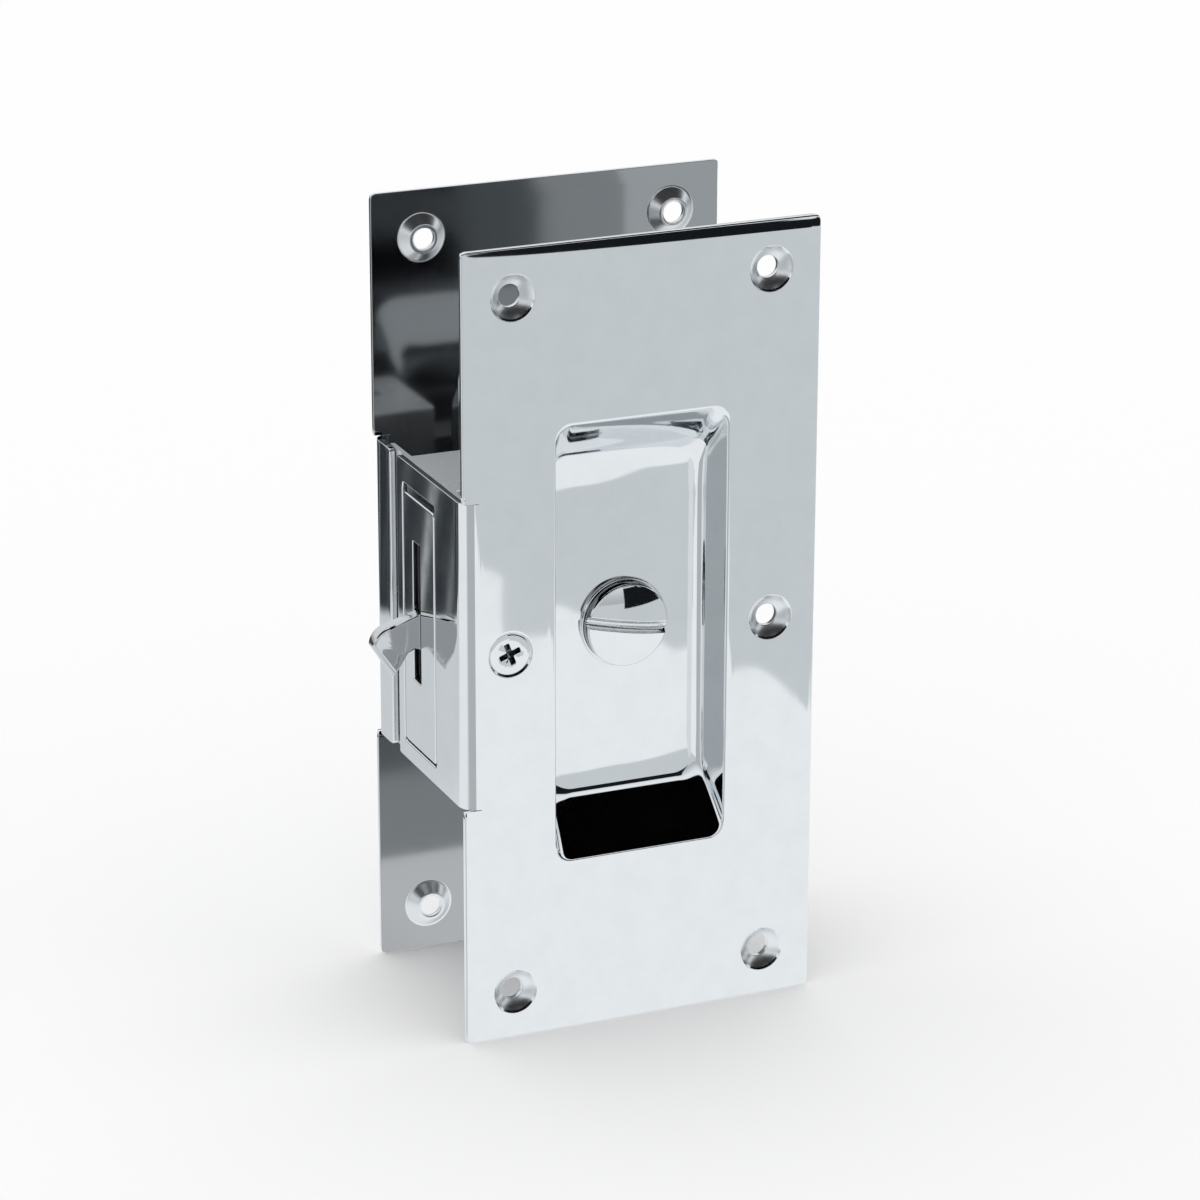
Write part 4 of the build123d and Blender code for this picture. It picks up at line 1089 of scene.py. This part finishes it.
class LOCK_OT_edge_face(bpy.types.Operator):
    """Face strip in the flange's window, with the hook's slot"""

    bl_idname = "lock.edge_face"
    bl_label = "Edge face"

    def execute(self, context):
        skin = face_strip(HOOK_SLOT)
        skin.piece("face_strip", "front_half", ["case_face"], "plate_chrome", finish("polished chrome"))
        return {"FINISHED"}


class LOCK_OT_turns(bpy.types.Operator):
    """Coin turn outside, knob inside, and the bushes round them"""

    bl_idname = "lock.turns"
    bl_label = "Turns"

    def execute(self, context):
        sizes = context.scene.lock_turns
        chrome = finish("turned chrome")
        disc = float(DISC_HIGH[0])
        face, shank_end = float(DISC_LOW[1]), float(DISC_HIGH[1])
        base = face + sizes.height
        coin = coin_turn(sizes, face, base, shank_end, disc)
        coin.piece("turn_coin", "turn_shaft", ["outside_turn"], "turn_chrome", chrome)
        height = base - sizes.knob_height
        knob = knob_disc(sizes, height, base, disc, DEPTH - float(KNOB_LOW[1]))
        blade = knob_blade(sizes, height, DEPTH - float(KNOB_HIGH[1]))
        for skin, name in ((knob, "turn_knob"), (blade, "turn_knob_blade")):
            skin.points = [as_inside(points) for points in skin.points]
            skin.piece(name, "inside_knob", ["inside_turn"], "turn_chrome", chrome)
        neck = context.scene.lock_plates.bush_hole
        rings = bush(sizes, float(BUSH_LOW[1]), float(BUSH_HIGH[1]), float(BUSH_HIGH[0]), neck)
        for name, body, node, place in (
            ("bush_outside", "front_half", "outside_bush", as_outside),
            ("bush_inside", "back_half", "inside_bush", as_inside),
        ):
            skin = Skin()
            skin.loops(place(rings))
            skin.piece(name, body, [node], "turn_chrome", chrome)
        return {"FINISHED"}


class LOCK_OT_screws(bpy.types.Operator):
    """Cross-recess screws that hold the plates to the case"""

    bl_idname = "lock.screws"
    bl_label = "Case screws"

    def execute(self, context):
        sizes = context.scene.lock_turns
        middle = (-context.scene.lock_plates.side_hole_x, 0.0)
        for name, node, body, place in (
            ("screw_front", "front_case_screw", "front_half", as_outside),
            ("screw_back", "back_case_screw", "back_half", as_inside),
        ):
            low, high = box_mm(node)
            skin = screw(sizes, float(high[1] - low[1]), place, middle)
            skin.piece(name, body, [node], "screw_chrome", finish("turned chrome"))
        return {"FINISHED"}


class LOCK_OT_works(bpy.types.Operator):
    """Hook, channel and the works in the case, from their CAD shapes"""

    bl_idname = "lock.works"
    bl_label = "Hook and works"

    def execute(self, context):
        for node, name, body, slot, look in (
            ("hook_bolt", "hook", "hook", "hook_chrome", "cast chrome"),
            ("guide_channel", "channel", "front_half", "liner_steel", "liner steel"),
            ("rear_bracket", "bracket", "front_half", "liner_steel", "liner steel"),
        ):
            smoothed_copy(node, name, body, slot, finish(look))
        shown = dict.fromkeys(("case_body", "case_cover"), "cast case")
        steel = ("channel_rivets", "cover_screws", "hub", "hook_pin", "pivot_spacers", "detent_spring")
        steel += ("spindle", "outside_clip", "inside_clip")
        shown.update(dict.fromkeys(steel, "works steel"))
        for node, look in shown.items():
            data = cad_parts[node].data
            data.materials.clear()
            data.materials.append(finish(look))
        return {"FINISHED"}


class LOCK_OT_stage(bpy.types.Operator):
    """Floor, soft room and camera"""

    bl_idname = "lock.stage"
    bl_label = "Stage"

    def execute(self, context):
        studio = context.scene.lock_studio
        self.lay_floor(context, studio)
        context.scene.world = soft_room(studio)
        self.place_camera(context, studio)
        context.scene.view_settings.view_transform = "Standard"
        return {"FINISHED"}

    def lay_floor(self, context, studio):
        """A flat round floor under the plates' lower edges."""
        level, reach, corners = float(CAD_BOX[0].z), 9.0, 64
        angles = np.linspace(0, 2 * math.pi, corners, endpoint=False)
        points = np.stack([reach * np.cos(angles), reach * np.sin(angles), np.full(corners, level)], axis=1)
        mesh = bpy.data.meshes.new("floor")
        mesh.from_pydata(points.tolist(), [], [list(range(corners))])
        floor = bpy.data.objects.new("floor", mesh)
        context.scene.collection.objects.link(floor)
        mesh.materials.append(pale_floor(studio))

    def place_camera(self, context, studio):
        """The camera at the photograph's angle, aimed by azimuth, rise and roll about the lock's middle."""
        a, e = studio.azimuth, studio.elevation
        back = Vector((math.sin(a) * math.cos(e), -math.cos(a) * math.cos(e), math.sin(e)))
        right = Vector((math.cos(a), math.sin(a), 0.0))
        up = back.cross(right)
        data = bpy.data.cameras.new("camera")
        data.lens, data.sensor_width = studio.lens, 36.0
        data.clip_start, data.clip_end = 0.01, 50.0
        camera = bpy.data.objects.new("camera", data)
        context.scene.collection.objects.link(camera)
        middle = Vector((0.0, DEPTH * MM / 2, 0.0))
        seat = middle + back * studio.distance + right * studio.aside + up * studio.above
        turn = Matrix((right, up, back)).transposed().to_4x4()
        camera.matrix_world = Matrix.Translation(seat) @ turn @ Matrix.Rotation(studio.roll, 4, "Z")
        context.scene.camera = camera


class LOCK_PT_pieces(bpy.types.Panel):
    """Pieces of the pocket door lock"""

    bl_idname = "LOCK_PT_pieces"
    bl_label = "Pocket lock"
    bl_space_type = "VIEW_3D"
    bl_region_type = "UI"
    bl_category = "Pocket lock"

    def draw(self, context):
        for operator in OPERATORS:
            self.layout.operator(operator.bl_idname)


OPERATORS = (
    LOCK_OT_front_plate,
    LOCK_OT_back_plate,
    LOCK_OT_edge_face,
    LOCK_OT_turns,
    LOCK_OT_screws,
    LOCK_OT_works,
    LOCK_OT_stage,
)
GROUPS = {
    "lock_plates": PlateSizes,
    "lock_turns": TurnSizes,
    "lock_finishes": Finishes,
    "lock_studio": Studio,
}


def register():
    for group in GROUPS.values():
        bpy.utils.register_class(group)
    for name, group in GROUPS.items():
        setattr(bpy.types.Scene, name, PointerProperty(type=group))
    for operator in OPERATORS:
        bpy.utils.register_class(operator)
    bpy.utils.register_class(LOCK_PT_pieces)


def unregister():
    bpy.utils.unregister_class(LOCK_PT_pieces)
    for operator in reversed(OPERATORS):
        bpy.utils.unregister_class(operator)
    for name in GROUPS:
        delattr(bpy.types.Scene, name)
    for group in reversed(GROUPS.values()):
        bpy.utils.unregister_class(group)


def main():
    """Makes every piece."""
    register()
    bpy.ops.lock.front_plate()
    bpy.ops.lock.back_plate()
    bpy.ops.lock.edge_face()
    bpy.ops.lock.turns()
    bpy.ops.lock.screws()
    bpy.ops.lock.works()
    bpy.ops.lock.stage()


if __name__ == "__main__":
    main()
